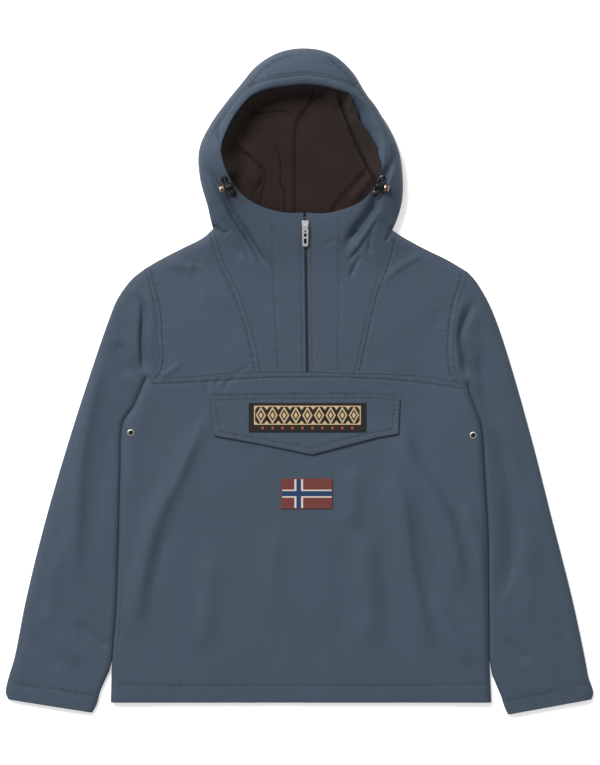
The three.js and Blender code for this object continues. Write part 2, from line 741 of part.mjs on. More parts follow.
// Angles of the sections between two seams: the same ones on both sides of the band seam
function sectionAngles(from, to) {
  const [low, high] = [Math.min(from, to), Math.max(from, to)];
  const gap = THREE.MathUtils.radToDeg(seamGap / 2 / 100);
  const between = ramp(80).map((f) => mix(-120, 280, f));
  const seams = [crownSeam.left, crownSeam.right, band.start, band.end];
  const inner = [...between, ...seams].filter((a) => a > low + 0.5 && a < high - 0.5);
  return [low + gap, ...inner.sort((a, b) => a - b), high - gap];
}

function hoodSide(side) {
  const isLeft = side.sign < 0;
  const seamAngle = isLeft ? crownSeam.left : crownSeam.right;
  const foot = isLeft ? crownFoot.left : crownFoot.right;
  const corner = crownCorner(isLeft ? 'left' : 'right');
  const outer = [];
  const inner = [];
  for (const angle of sectionAngles(seamAngle, side.neckAngle)) {
    const from = sideSeamRadius(angle);
    const section = hoodSection(angle, from, frontTop);
    const end = crossRay(angle, corner, foot) + 1;
    const fold = section.at(-1)[0];
    section.push([Math.min(end, fold - 2), 0]);
    outer.push(placeSection(angle, section));
    inner.push(placeSection(angle, offsetSection(section, wall.hood)));
  }
  return solidBetween(outer, inner);
}

function hoodCrown() {
  const outer = [];
  const inner = [];
  const tongue = ramp(6);
  for (const angle of sectionAngles(crownSeam.right, crownSeam.left)) {
    const across = (crownSeam.left - angle) / (crownSeam.left - crownSeam.right);
    const from = hoodSize('rim', angle) + bandWidth(angle) + seamGap / 2;
    const section = hoodSection(angle, from, frontTop);
    const footX = mix(crownFoot.left[0] + 1, crownFoot.right[0] - 1, across);
    const [sx, sy] = polar(angle, hoodSize('outline', angle) - footRadius);
    const squeeze = mix(0.8, -0.8, across);
    const floor = tongue.map((f) => [mix(sx + squeeze, footX, f), mix(sy, neckY, f)]);
    const inside = offsetSection(section, wall.hood);
    outer.push([...placeSection(angle, section), ...floor.map(([x, y]) => new THREE.Vector3(x, y, 0))]);
    inner.push([...placeSection(angle, inside),
      ...floor.map(([x, y]) => new THREE.Vector3(x, y, wall.hood))]);
  }
  return solidBetween(outer, inner);
}

// The band: facing or lip inside, rim, and the tunnel out to the band seam
function hoodBand() {
  const outer = [];
  const inner = [];
  for (const angle of sectionAngles(band.start, band.end)) {
    const rim = hoodSize('rim', angle);
    const width = bandWidth(angle) - seamGap / 2;
    const lip = facingWidth(angle);
    const drop = table([[3, 3], [22, 12]], lip);
    const top = frontTop(...polar(angle, rim));
    const seam = frontTop(...polar(angle, rim + width));
    const section = [
      [rim - lip, top - drop],
      [rim - lip * 0.5, top - drop * 0.42],
      [rim, top],
      [rim + width * 0.45, mix(top, seam, 0.45) + width * 0.12],
      [rim + width, seam],
    ];
    outer.push(placeSection(angle, section));
    inner.push(placeSection(angle, section.map(([r, z]) => [r, z - wall.band])));
  }
  return solidBetween(outer, inner);
}

// Hood lining: three pieces over the hood's floor, meeting the band all round

function liningRim(from, to) {
  return new Path(ramp(30).map((f) => {
    const angle = mix(from, to, f);
    return polar(angle, liningEdge(angle).radius - 0.4);
  }), false);
}

function edgePoint(angle) {
  return polar(angle, liningEdge(angle).radius - 0.4);
}

function liningSeamPath(points, topAngle, footAngle) {
  return new Path([edgePoint(footAngle), ...points.slice(1, -1).reverse(), edgePoint(topAngle)]);
}

const liningSeams = {
  left: liningSeamPath(liningSeam.left, 80, 262),
  right: liningSeamPath(liningSeam.right, 60, -27),
};

function liningPatch(outline, us, vs) {
  const top = raise(shrink(coons(outline, us, vs)), liningTop);
  return solidBetween(top, lower(top, wall.lining));
}

const liningEdgeIn = [0, 0.06, 0.13, 0.22, 0.34, 0.5, 0.66, 0.82, 1];

function liningLeft() {
  return liningPatch({
    bottom: liningRim(222, 262),
    top: liningRim(140, 80),
    left: liningRim(222, 140),
    right: liningSeams.left,
  }, liningEdgeIn, liningRows);
}

function liningCentre() {
  return liningPatch({
    bottom: liningRim(262, 333),
    top: liningRim(80, 60),
    left: liningSeams.left,
    right: liningSeams.right,
  }, ramp(7), liningRows);
}

function liningRight() {
  return liningPatch({
    bottom: liningRim(-27, -19),
    top: liningRim(60, 47),
    left: liningSeams.right,
    right: liningRim(-19, 47),
  }, ramp(5), liningRows);
}

// Pocket flap and badges lie on the front, each made from the front's own points moved out

function flapTop(x, y) {
  return frontTop(x, y) + layerGap + wall.flap;
}

function flapPatch() {
  const top = new Path(flap.top, false);
  const bottom = new Path(flap.bottom, false);
  const outline = {
    bottom,
    top,
    left: new Path([flap.bottom[0], flap.top[0]], false),
    right: new Path([flap.bottom.at(-1), flap.top.at(-1)], false),
  };
  return clothPatch(coons(outline, ramp(14), ramp(4)), flapTop, wall.flap);
}

function badge({ x0, x1, y0, y1 }, under, cols) {
  const outline = {
    bottom: new Path([[x0, y0], [x1, y0]], false),
    top: new Path([[x0, y1], [x1, y1]], false),
    left: new Path([[x0, y0], [x0, y1]], false),
    right: new Path([[x1, y0], [x1, y1]], false),
  };
  const height = (x, y) => under(x, y) + layerGap + wall.badge;
  return clothPatch(coons(outline, ramp(cols), ramp(3)), height, wall.badge);
}

// Zip

function zipTape() {
  const rows = ramp(16).map((v) => {
    const t = mix(zip.from, zip.to, v);
    const [a, b] = [zipEdge.left.at(t), zipEdge.right.at(t)];
    const margin = seamGap / (2 * zip.half);
    return [margin, 1 - margin].map((f) => [mix(a[0], b[0], f), mix(a[1], b[1], f)]);
  });
  const top = raise(rows, (x, y) => frontTop(x, y) - zip.sink);
  return solidBetween(top, lower(top, wall.tape));
}

function weld(geometry) {
  const bare = geometry.index ? geometry.clone() : geometry;
  bare.deleteAttribute('normal');
  bare.deleteAttribute('uv');
  return mergeVertices(bare, 1e-4);
}

function toManifold(geometry) {
  const merged = weld(geometry);
  return new wasm.Manifold(new wasm.Mesh({
    numProp: 3,
    vertProperties: Float32Array.from(merged.attributes.position.array),
    triVerts: Uint32Array.from(merged.index.array),
  }));
}

function fromManifold(solid) {
  const mesh = solid.getMesh();
  const geometry = new THREE.BufferGeometry();
  geometry.setAttribute('position', new THREE.Float32BufferAttribute(mesh.vertProperties, 3));
  geometry.setIndex([...mesh.triVerts]);
  return geometry;
}

function box(width, length, height, x, y, z) {
  return toManifold(new THREE.BoxGeometry(width, length, height).translate(x, y, z));
}

// A round bar along X
function bar(radius, length, y, z, facets = 16) {
  const geometry = new THREE.CylinderGeometry(radius, radius, length, facets).rotateZ(Math.PI / 2);
  return toManifold(geometry.translate(0, y, z));
}

function sliderShape() {
  const half = slider.width / 2 - 0.6;
  const outline = new THREE.Shape();
  outline.moveTo(-half * 0.72, -slider.length / 2);
  outline.lineTo(half * 0.72, -slider.length / 2);
  outline.lineTo(half, slider.length * 0.1);
  outline.lineTo(half, slider.length / 2);
  outline.lineTo(-half, slider.length / 2);
  outline.lineTo(-half, slider.length * 0.1);
  outline.closePath();
  const plate = new THREE.ExtrudeGeometry(outline, {
    depth: slider.plate - 1.2, bevelThickness: 0.6, bevelSize: 0.6, bevelSegments: 2, steps: 1,
  });
  plate.translate(0, 0, 0.6);
  const pinZ = slider.plate + slider.pinRise;
  const lugX = 2.9;
  let solid = toManifold(plate).add(box(slider.keel, slider.length * 0.8, 2, 0, 0, -0.7));
  for (const x of [-lugX, lugX]) {
    solid = solid.add(box(slider.lug, 5, slider.pinRise + 1.7, x, 0, slider.plate + 1.9));
  }
  return fromManifold(solid.add(bar(slider.pin, lugX * 2, 0, pinZ)));
}

function pullShape() {
  const { length, width, thickness, eye, bore } = pull;
  const half = width / 2;
  const outline = new THREE.Shape();
  outline.moveTo(-2, -1.5);
  outline.lineTo(-2, -4);
  outline.quadraticCurveTo(-half, -5, -half, -8);
  outline.lineTo(-half * 0.86, -length + 3);
  outline.quadraticCurveTo(-half * 0.8, -length, -half * 0.3, -length);
  outline.lineTo(half * 0.3, -length);
  outline.quadraticCurveTo(half * 0.8, -length, half * 0.86, -length + 3);
  outline.lineTo(half, -8);
  outline.quadraticCurveTo(half, -5, 2, -4);
  outline.lineTo(2, -1.5);
  outline.closePath();
  const hole = new THREE.Path();
  hole.absarc(0, -9.6, 1.5, 0, Math.PI * 2, true);
  outline.holes.push(hole);
  for (const [from, to] of [[-13, -18], [-21, -29]]) {
    const slot = new THREE.Path();
    slot.moveTo(-2.2, from);
    slot.lineTo(2.2, from);
    slot.lineTo(2.2, to);
    slot.lineTo(-2.2, to);
    slot.closePath();
    outline.holes.push(slot);
  }
  const plate = new THREE.ExtrudeGeometry(outline, {
    depth: thickness, bevelEnabled: false, curveSegments: 6,
  }).translate(0, 0, -thickness / 2);
  const barrel = bar(eye, pull.barrel, 0, 0, 20);
  return fromManifold(toManifold(plate).add(barrel).subtract(bar(bore, 6, 0, 0)));
}

function zipTilt() {
  const [x] = zipLine.at(0.94);
  return Math.atan2(frontTop(x, slider.y + 12) - frontTop(x, slider.y - 18), 30);
}

// Fittings

function eyeletShape() {
  const { outer, hole, rim } = eyelet;
  const profile = [[hole, 0], [outer, 0], [outer - 0.8, rim * 0.8], [hole + 1, rim], [hole, 0]];
  const ring = new THREE.LatheGeometry(profile.map(([r, z]) => new THREE.Vector2(r, z)), 14);
  return weld(ring.rotateX(Math.PI / 2));
}

// How the cloth leans at a spot, as a turn that lays a flat fitting on it
function leaning(x, y, height) {
  const step = 4;
  const slope = new THREE.Vector3(
    height(x - step, y) - height(x + step, y),
    height(x, y - step) - height(x, y + step),
    2 * step,
  ).normalize();
  return new THREE.Quaternion().setFromUnitVectors(new THREE.Vector3(0, 0, 1), slope);
}

// The lowest place where a tilted round fitting clears the cloth all round
function seatPlace([x, y], height, reach, lift) {
  const turn = leaning(x, y, height);
  const up = new THREE.Vector3(0, 0, 1).applyQuaternion(turn);
  let need = 0;
  for (const k of ramp(12)) {
    const dx = reach * Math.cos(k * Math.PI * 2);
    const dy = reach * Math.sin(k * Math.PI * 2);
    const plane = -(up.x * dx + up.y * dy) / up.z;
    need = Math.max(need, height(x + dx, y + dy) - height(x, y) - plane);
  }
  return { turn, z: height(x, y) + (need + lift) / up.z };
}

function seat(mesh, spot, height) {
  const { turn, z } = seatPlace(spot, height, eyelet.outer, 0.3);
  mesh.quaternion.copy(turn);
  mesh.position.set(...spot, z);
  return mesh;
}

// How high the lock's axis lies when its barrel and button rest on the cloth
function lockHeight([lx, ly], out) {
  let height = 0;
  for (const [radius, along] of [...cordLock.body, ...cordLock.button]) {
    for (const f of ramp(8)) {
      const across = mix(-radius, radius, f);
      const x = lx + out.x * along - out.y * across;
      const y = ly + out.y * along + out.x * across;
      height = Math.max(height, frontTop(x, y) + Math.sqrt(radius ** 2 - across ** 2));
    }
  }
  return height + cordLock.clearance;
}

function turnedPiece(profile, turn, place) {
  const lathe = new THREE.LatheGeometry(profile.map(([r, t]) => new THREE.Vector2(r, t)), 14);
  return lathe.applyQuaternion(turn).translate(...place);
}

function cordLockParts(spots) {
  const [lx, ly] = spots.lock;
  const [bx, by] = spots.button;
  const up = new THREE.Vector3(0, 1, 0);
  const out = new THREE.Vector3(bx - lx, by - ly, 0).normalize();
  const z = lockHeight(spots.lock, out);
  const turn = new THREE.Quaternion().setFromUnitVectors(up, out);
  const route = cordRoute(spots, z);
  const hole = new THREE.CylinderGeometry(drawcord.bore, drawcord.bore, 30, 14);
  hole.applyQuaternion(new THREE.Quaternion().setFromUnitVectors(up, route.through)).translate(lx, ly, z);
  const barrel = toManifold(turnedPiece(cordLock.body, turn, [lx, ly, z]));
  return {
    body: fromManifold(barrel.subtract(toManifold(hole))),
    button: weld(turnedPiece(cordLock.button, turn, [lx, ly, z])),
    cord: cordTube(route.points),
  };
}

// The elastic comes up out of one eyelet, goes through the lock and down into the other
function cordRoute(spots, z) {
  const sink = (spot, h) => new THREE.Vector3(...spot, seatPlace(spot, frontTop, eyelet.outer, 0.3).z + h);
  const lock = new THREE.Vector3(...spots.lock, z);
  const through = new THREE.Vector3(spots.foot[0] - spots.top[0], spots.foot[1] - spots.top[1], 0).normalize();
  const points = [
    sink(spots.top, 0.3),
    sink(spots.top, 4),
    lock.clone().addScaledVector(through, -10),
    lock.clone().addScaledVector(through, -6),
    lock.clone().addScaledVector(through, 6),
    lock.clone().addScaledVector(through, 10),
    sink(spots.foot, 4),
    sink(spots.foot, 0.3),
  ];
  return { points, through };
}

function cordTube(points) {
  const ring = new THREE.Shape();
  ring.absarc(0, 0, drawcord.radius, 0, Math.PI * 2, false);
  const curve = new THREE.CatmullRomCurve3(points, false, 'centripetal');
  const tube = new THREE.ExtrudeGeometry(ring, { extrudePath: curve, steps: 22, curveSegments: 4 });
  return weld(tube);
}

// Materials

const colours = {
  cloth: { color: 0x49555f, roughness: 0.72, metalness: 0 },
  lining: { color: 0x2d2320, roughness: 0.95, metalness: 0 },
  label: { color: 0x24201c, roughness: 0.85, metalness: 0 },
  flag: { color: 0x6e3e36, roughness: 0.85, metalness: 0 },
  tape: { color: 0x1d232c, roughness: 0.6, metalness: 0 },
  silver: { color: 0xc9cbcc, roughness: 0.3, metalness: 0.9 },
  gunmetal: { color: 0x6e6555, roughness: 0.35, metalness: 0.9 },
  black: { color: 0x111214, roughness: 0.45, metalness: 0 },
};

function piece(name, geometry, material) {
  const mesh = new THREE.Mesh(geometry, new THREE.MeshStandardMaterial(colours[material]));
  mesh.name = name;
  return mesh;
}

// The garment

const anorak = new THREE.Group();

anorak.add(
  piece('body_back', bodyBack(), 'cloth'),
  piece('body_front', bodyFront(), 'cloth'),
  piece('hood_crown', hoodCrown(), 'cloth'),
  piece('hood_band', hoodBand(), 'cloth'),
  piece('hood_lining_left', liningLeft(), 'lining'),
  piece('hood_lining_centre', liningCentre(), 'lining'),
  piece('hood_lining_right', liningRight(), 'lining'),
  piece('pocket_flap', flapPatch(), 'cloth'),
  piece('label_badge', badge(labelBadge, flapTop, 8), 'label'),
  piece('flag_badge', badge(flagBadge, frontTop, 4), 'flag'),
  piece('zip_tape', zipTape(), 'tape'),
);

for (const [name, side] of Object.entries(sides)) {
  anorak.add(
    piece(`yoke_${name}`, yoke(side), 'cloth'),
    piece(`inset_${name}`, inset(side), 'cloth'),
    piece(`sleeve_${name}`, sleeve(side), 'cloth'),
    piece(`hood_side_${name}`, hoodSide(side), 'cloth'),
  );
  const lock = cordLockParts(drawcord[name]);
  anorak.add(
    piece(`cord_lock_${name}`, lock.body, 'black'),
    piece(`lock_button_${name}`, lock.button, 'gunmetal'),
    piece(`drawcord_${name}`, lock.cord, 'black'),
  );
  const spots = { side: sideEyelets[name], top: drawcord[name].top, foot: drawcord[name].foot };
  for (const [place, spot] of Object.entries(spots)) {
    anorak.add(seat(piece(`eyelet_${place}_${name}`, eyeletShape(), 'gunmetal'), spot, frontTop));
  }
}

// The slider stands over the closed zip, and its pull hangs from the pin across it
const zipGroup = new THREE.Group();
const [sliderX] = zipLine.at(0.94);
zipGroup.position.set(sliderX, slider.y, frontTop(sliderX, slider.y) + 0.9);
zipGroup.rotation.x = zipTilt();
const sliderMesh = piece('zip_slider', sliderShape(), 'silver');
const pullMesh = piece('zip_pull', pullShape(), 'silver');
pullMesh.position.z = slider.plate + slider.pinRise;
pullMesh.rotation.x = THREE.MathUtils.degToRad(pull.sag);
zipGroup.add(sliderMesh, pullMesh);
anorak.add(zipGroup);

export default anorak;
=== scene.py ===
"""An anorak pullover laid flat on its back: cloth panels, stitching, badges, zip and hood fittings.

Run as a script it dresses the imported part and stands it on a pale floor. Shapes are worked out in
millimetres on the part's own axes: +X to the right, +Y from hem to hood, +Z up off the surface.
"""

import math
from collections import namedtuple

import bpy
import numpy as np
from bpy.props import FloatProperty, FloatVectorProperty, PointerProperty
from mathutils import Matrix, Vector


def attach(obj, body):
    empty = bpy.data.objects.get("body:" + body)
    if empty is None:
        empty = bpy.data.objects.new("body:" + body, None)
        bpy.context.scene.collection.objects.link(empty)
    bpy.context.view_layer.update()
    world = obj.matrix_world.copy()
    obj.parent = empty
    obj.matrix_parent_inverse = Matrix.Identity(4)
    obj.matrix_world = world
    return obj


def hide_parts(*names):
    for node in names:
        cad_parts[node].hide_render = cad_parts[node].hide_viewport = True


bl_info = {
    "name": "Anorak pullover",
    "version": (1, 0, 0),
    "blender": (4, 5, 0),
    "location": "3D View > Sidebar > Anorak",
    "description": "Builds the cloth, stitching, badges and fittings of an anorak laid flat",
    "category": "Object",
}

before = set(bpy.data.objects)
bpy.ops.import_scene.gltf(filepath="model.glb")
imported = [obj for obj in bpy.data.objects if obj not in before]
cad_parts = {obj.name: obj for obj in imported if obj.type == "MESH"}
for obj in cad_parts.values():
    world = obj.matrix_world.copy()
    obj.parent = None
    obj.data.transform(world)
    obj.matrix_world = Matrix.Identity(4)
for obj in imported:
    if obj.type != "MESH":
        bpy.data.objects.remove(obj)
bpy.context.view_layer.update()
BODY = "garment"
MM = 0.001

# Sizes, as in the part's source

SEAM_GAP = 0.06
SEAM_DROP = 0.5
LAYER_GAP = 0.4
WALL = {"shell": 3.6, "hood": 3.4, "band": 3.2, "back": 4, "sleeve": 3.4, "lining": 2.8, "flap": 2.4,
        "tape": 2.4, "badge": 1.2}
REST = {"middle": 9.6, "side": 11.8, "side_reach": 60, "lining_floor": 8}
NECK_Y = 240.6
BESIDE_BODY_GAP = 1.7
SLEEVE_GAP = -0.15
CUFF_FREE_Y = -445
FACE = np.array([9.0, 367.0])
BAND = {"start": -18, "end": 181, "width": 12, "taper": 14}
CROWN_SEAM = {"left": 128, "right": 52}
CROWN_FOOT = {"left": (-95, NECK_Y), "right": (107, NECK_Y)}
FOOT_RADIUS = 27
FLOOR_SEAM = 0.1

# Distances from a seamed edge at which a panel's rows stand, then evenly on
SEAM_STOPS = (0, 0.3, 0.75, 1.3, 2.1, 3.2, 4.4, 5.6, 6.6, 7.4, 8.1, 8.8, 9.6, 10.8, 12.2, 14)
# The same for an edge that rolls over
ROLL_STOPS = (0, 0.35, 1, 2, 3.4, 5.2, 7.4, 10, 13)

SIDES = {
    "left": {
        "sign": -1,
        "shoulder_point": (-244, 179),
        "armhole": [(-244, 179), (-236, 150), (-226, 105), (-224, 66), (-222, 38), (-229, 15), (-243, 5)],
        "side": [(-243, 5), (-252, -16), (-263, -40), (-279, -65), (-283, -139), (-286, -260),
                 (-290, -365), (-296, -440), (-298, -506)],
        "shoulder": [(-220, 193), (-185, 211), (-152, 228)],
        "sleeve_outer": [(-244, 179), (-266, 161), (-288, 130), (-301, 98), (-323, 35), (-364, -92),
                         (-401, -218), (-432, -344), (-450, -435), (-459, -465), (-464, -490), (-460, -501)],
        "sleeve_inner_end": [(-300, -456), (-307, -471), (-315, -490), (-320, -509), (-327, -522)],
        "front_foot": (-61, 10),
        "front": [(-71, 63), (-86, 114), (-100, 150), (-119, 188)],
        "neck_angle": 220.7,
    },
    "right": {
        "sign": 1,
        "shoulder_point": (265, 174),
        "armhole": [(265, 174), (261, 155), (253, 132), (246.5, 105), (243, 77), (242.5, 44), (247, 14),
                    (266, -4)],
        "side": [(266, -4), (269, -17), (277, -40), (287, -68), (293, -150), (298, -234), (299, -330),
                 (300, -440), (303, -506)],
        "shoulder": [(233, 193), (200, 209), (165, 228)],
        "sleeve_outer": [(265, 174), (277, 161), (296, 130), (310, 98), (331, 35), (367, -92),
                         (399, -218), (431, -344), (451, -438), (456, -465), (464, -491), (461, -501)],
        "sleeve_inner_end": [(304, -462), (310, -477), (318, -496), (323, -512), (329, -525)],
        "front_foot": (86, 9),
        "front": [(96, 58), (107, 109), (118, 149), (133, 188)],
        "neck_angle": -42.8,
    },
}

CHEST_SEAM = [(-243, 7), (-173, 8), (-113, 13), (-15, 15), (91, 13), (190, 9), (266, -2)]
ZIP_LINE = [(12.5, 11), (11, 130), (9, 253), (8, 268)]
ZIP = {"half": 2, "sink": 1.8, "from": 0.012, "to": 0.975}
# A black dish in each eyelet's hole, as painted shade of the hole: its radius, depth and lip in metres.
SHADE_DISH = {"radius": 0.0037, "depth": 0.0008, "lip": 0.0004}

# Hood, measured about the middle of the face opening, from -45 degrees on in steps of 15:
# radius of the rim, radius of the outline, height of the rim
HOOD_COLUMNS = ("rim", "outline", "height")
HOOD_ROWS = np.array([
    (120, 189, 29), (125, 175, 36), (125, 159, 43), (124, 147, 46), (120, 136, 46), (118, 129, 44),
    (115, 131, 43), (108, 144, 43), (104, 156, 42), (103, 159, 42), (104, 158, 42), (111, 152, 43),
    (119, 144, 44), (122, 145, 45), (127, 154, 46), (132, 167, 46), (129, 172, 42), (125, 178, 35),
    (118, 196, 28), (110, 200, 23), (104, 200, 20), (100, 200, 19), (105, 200, 20), (111, 200, 23),
], float)
ROW_STEP = 15
UNDER_FOLD = [(0, 16), (2, 9), (7, 3), (14, 0.8), (22, 0)]
FACING = [(-18, 5), (0, 11), (12, 17), (28, 22), (40, 14), (52, 3)]
LIP_DROP = [(0, 1), (3, 3), (22, 12)]
LINING_SEAM = {
    "left": [(24, 452), (12, 433), (-2, 417), (-6, 393), (-6, 335), (-5, 258)],
    "right": [(60, 452), (75, 409), (107, 338), (122, 311)],
}

# Folds: path, half width on the left and right of its direction, and height (below the cloth if negative)
Fold = namedtuple("Fold", "path left right height")
LARGE_FOLDS = [
    Fold([(-145, -33), (-189, -139), (-225, -218), (-246, -300), (-263, -419)], 13, 18, 5.4),
    Fold([(-137, -261), (-146, -365), (-157, -430)], 16, 16, 2.8),
    Fold([(-42, -213), (-42, -392)], 18, 18, 2.24),
    Fold([(88, -128), (80, -234)], 16, 16, 2.52),
    Fold([(100, -234), (116, -430)], 16, 16, 3.36),
    Fold([(140, -119), (164, -207), (176, -300), (211, -444)], 12, 20, 5.2),
    Fold([(159, -55), (175, -128), (222, -198), (245, -260), (258, -340)], 12, 18, 5.6),
    Fold([(209, -329), (238, -392), (273, -455)], 11, 11, 3.64),
    Fold([(-209, 190), (-162, 177)], 9, 9, 2.4),
    Fold([(-162, 141), (-105, 114)], 12, 12, 1.2),
    Fold([(206, 201), (159, 177), (127, 145)], 10, 10, 2.6),
    Fold([(-222, 8), (-186, 32)], 7, 7, 2),
    Fold([(-243, 150), (-236, 100), (-237, 50), (-236, 16)], 8, 8, 2.6),
    Fold([(-258, 142), (-247, 112), (-249, 77), (-248, 40), (-246, 8)], 8, 3.2, -5),
    Fold([(262, 140), (250, 100), (250, 55), (256, 12)], 8, 8, 2.6),
    Fold([(277, 130), (259, 88), (255, 69), (262, 30), (268, 0)], 3.2, 8, -5),
    Fold([(-306, 60), (-322, 0), (-346, -123), (-352, -220), (-357, -340)], 13, 22, 5),
    Fold([(-288, 66), (-270, 4)], 9, 12, -2.8),
    Fold([(-413, -349), (-374, -412), (-342, -452)], 12, 12, 2.6),
    Fold([(300, -49), (322, -119), (337, -207), (334, -300), (310, -352)], 7, 20, -5),
    Fold([(284, 60), (292, -13), (306, -76)], 12, 8, -2),
    Fold([(-163, 350), (-137, 322), (-118, 292), (-83, 232), (-59, 190)], 6.5, 6.5, -7),
    Fold([(-137, 253), (-86, 190)], 8, 8, -3.4),
    Fold([(152, 378), (148, 350), (131, 314), (111, 269), (83, 231), (70, 196)], 7, 7, -8),
    Fold([(138, 276), (108, 236), (86, 196)], 8, 8, 3.4),
    Fold([(-86, 463), (-67, 488), (-48, 504), (-30, 513), (-8, 518)], 3, 3, 2),
    Fold([(43, 512), (67, 490), (80, 475), (92, 456)], 6, 6, -3.2),
]

# Smaller creases that the part's source leaves to the looks
SMALL_FOLDS = [
    # Neck, left: the long crease ends at the placket, with a short one below it
    Fold([(-122, 290), (-89, 240), (-60, 198), (-45, 178)], 1.8, 6, -4.6),
    Fold([(-116, 294), (-82, 244), (-54, 203), (-42, 184)], 3.5, 3, 1.8),
    Fold([(-126, 262), (-102, 238), (-84, 212), (-73, 184)], 2.2, 6, -3.6),
    Fold([(-133, 244), (-118, 236), (-109, 240)], 2, 4, -2.4),
    # Neck, right: a fan of creases that spreads from the cord lock
    Fold([(121, 292), (114, 268), (95, 242), (75, 222)], 6, 1.8, -4.6),
    Fold([(130, 270), (118, 250), (104, 227), (92, 209), (74, 188)], 6, 2, -4.4),
    Fold([(116, 238), (111, 224), (108, 200)], 3, 2, -2.6),
    Fold([(98, 204), (84, 177), (79, 163)], 4, 2, -3.2),
    Fold([(60, 226), (36, 214)], 3, 3, -0.8),
    Fold([(148, 242), (136, 219)], 1.4, 4, -4),
    # Yokes
    Fold([(-191, 182), (-166, 176), (-149, 164)], 4.5, 9, -0.8),
    Fold([(-186, 190), (-150, 187)], 6, 4.5, -0.9),
    Fold([(-154, 139), (-128, 122), (-106, 112)], 7.5, 7, -0.7),
    Fold([(-222, 12), (-205, 24), (-190, 34)], 3.6, 4.5, -1.35),
    Fold([(203, 199), (172, 182), (147, 164), (129, 146)], 7.5, 4.5, -1.71),
    Fold([(214, 116), (221, 83)], 7.5, 7.5, -0.9),
    # Pulls that run up and down from the chest seam and the pocket's corners
    Fold([(-141, 7), (-147, -12), (-140, -24)], 3, 3, -1.2),
    Fold([(-124, 10), (-133, -8)], 2.6, 2.6, -1),
    Fold([(-100, 9), (-116, -4), (-121, -16)], 3, 3, -1.1),
    Fold([(-78, 26), (-103, 12)], 3, 3, -0.9),
    Fold([(148, -17), (138, -6), (131, 2)], 3, 3, -0.9),
    Fold([(133, -14), (120, -2)], 3, 3, -0.8),
    # Body
    Fold([(-152, -34), (-175, -92), (-196, -145), (-216, -190)], 7.2, 12.8, -1.44),
    Fold([(-205, -222), (-226, -292), (-240, -352)], 9.6, 16, -1.26),
    Fold([(-73, -98), (-62, -128)], 6.4, 6.4, -0.9),
    Fold([(-62, -125), (-47, -190), (-40, -262)], 14.4, 11.2, -0.9),
    Fold([(58, -240), (66, -330), (62, -432)], 19.2, 14.4, -1.08),
    Fold([(128, -246), (137, -330), (152, -430)], 16, 11.2, -1.17),
    Fold([(150, -96), (186, -170), (202, -240), (222, -330)], 14.4, 9.6, -1.62),
    Fold([(168, -60), (206, -130), (248, -206), (263, -262)], 8, 12.8, -1.71),
    Fold([(262, -180), (281, -255), (288, -320)], 9, 12, 2.4),
    Fold([(-20, -330), (-12, -470)], 19.2, 19.2, 0.9),
    Fold([(-252, -40), (-262, -120), (-262, -190)], 11.2, 11.2, 1.08),
    # Sleeves
    Fold([(-264, 128), (-256, 96), (-257, 60), (-258, 16)], 6, 12, 2.34),
    Fold([(-268, 152), (-254, 136), (-250, 112)], 4.5, 4.5, 1.44),
    Fold([(-331, 20), (-352, -76), (-378, -180)], 15, 10.5, -1.26),
    Fold([(-298, -60), (-312, -150), (-318, -240)], 12, 13.5, -1.26),
    Fold([(-372, -250), (-392, -330), (-396, -392)], 13.5, 13.5, 1.44),
    Fold([(-420, -392), (-396, -430), (-372, -452)], 10.5, 10.5, -1.17),
    Fold([(-352, -372), (-336, -420)], 10.5, 10.5, -0.99),
    Fold([(286, 126), (269, 86), (266, 56), (274, 10)], 12, 6, 2.16),
    Fold([(334, 10), (352, -80), (372, -170)], 13.5, 13.5, -1.17),
    Fold([(352, -150), (362, -240), (352, -320)], 20, 12, 1.6),
    Fold([(352, -230), (362, -320), (352, -402)], 15, 12, 1.44),
    Fold([(402, -300), (420, -392), (424, -440)], 13.5, 13.5, -1.08),
    Fold([(330, -402), (356, -448)], 10.5, 10.5, -1.17),
    # Hem and cuffs
    Fold([(-203, -476), (-190, -498)], 2.6, 2.6, -1.3),
    Fold([(-191, -474), (-178, -500)], 2.6, 2.6, -1.1),
    Fold([(118, -474), (126, -500)], 2.6, 2.6, -0.9),
    Fold([(-352, -380), (-322, -404), (-298, -424)], 9, 5, -1.6),
    Fold([(-332, -362), (-310, -384), (-298, -400)], 6, 4, -1),
    Fold([(318, -396), (342, -424), (372, -440)], 7, 7, -1.2),
    Fold([(-438, -468), (-424, -486)], 3, 3, -1),
    # Hood
    Fold([(-138, 360), (-121, 395), (-92, 437), (-62, 470)], 4, 3, -2.6),
    Fold([(-152, 330), (-160, 352), (-156, 380)], 5, 5, 1.6),
    Fold([(20, 505), (58, 494), (76, 470)], 4, 3, -1.4),
    Fold([(70, 486), (98, 452), (126, 404), (143, 356)], 2, 6, -2.8),
    Fold([(112, 452), (134, 410), (150, 366)], 5, 2, -2.2),
    Fold([(62, 512), (84, 496), (100, 470)], 4, 2, -2),
    Fold([(-142, 372), (-132, 398), (-112, 428)], 2, 6, -3),
    Fold([(-160, 318), (-150, 296), (-142, 284)], 5, 1.8, -3),
    Fold([(-150, 338), (-166, 322), (-172, 300)], 3, 6, -2.4),
    Fold([(122, 408), (134, 372), (137, 340)], 2.4, 2.4, -1.2),
    Fold([(148, 346), (143, 318), (131, 296)], 4, 6, 2.2),
]

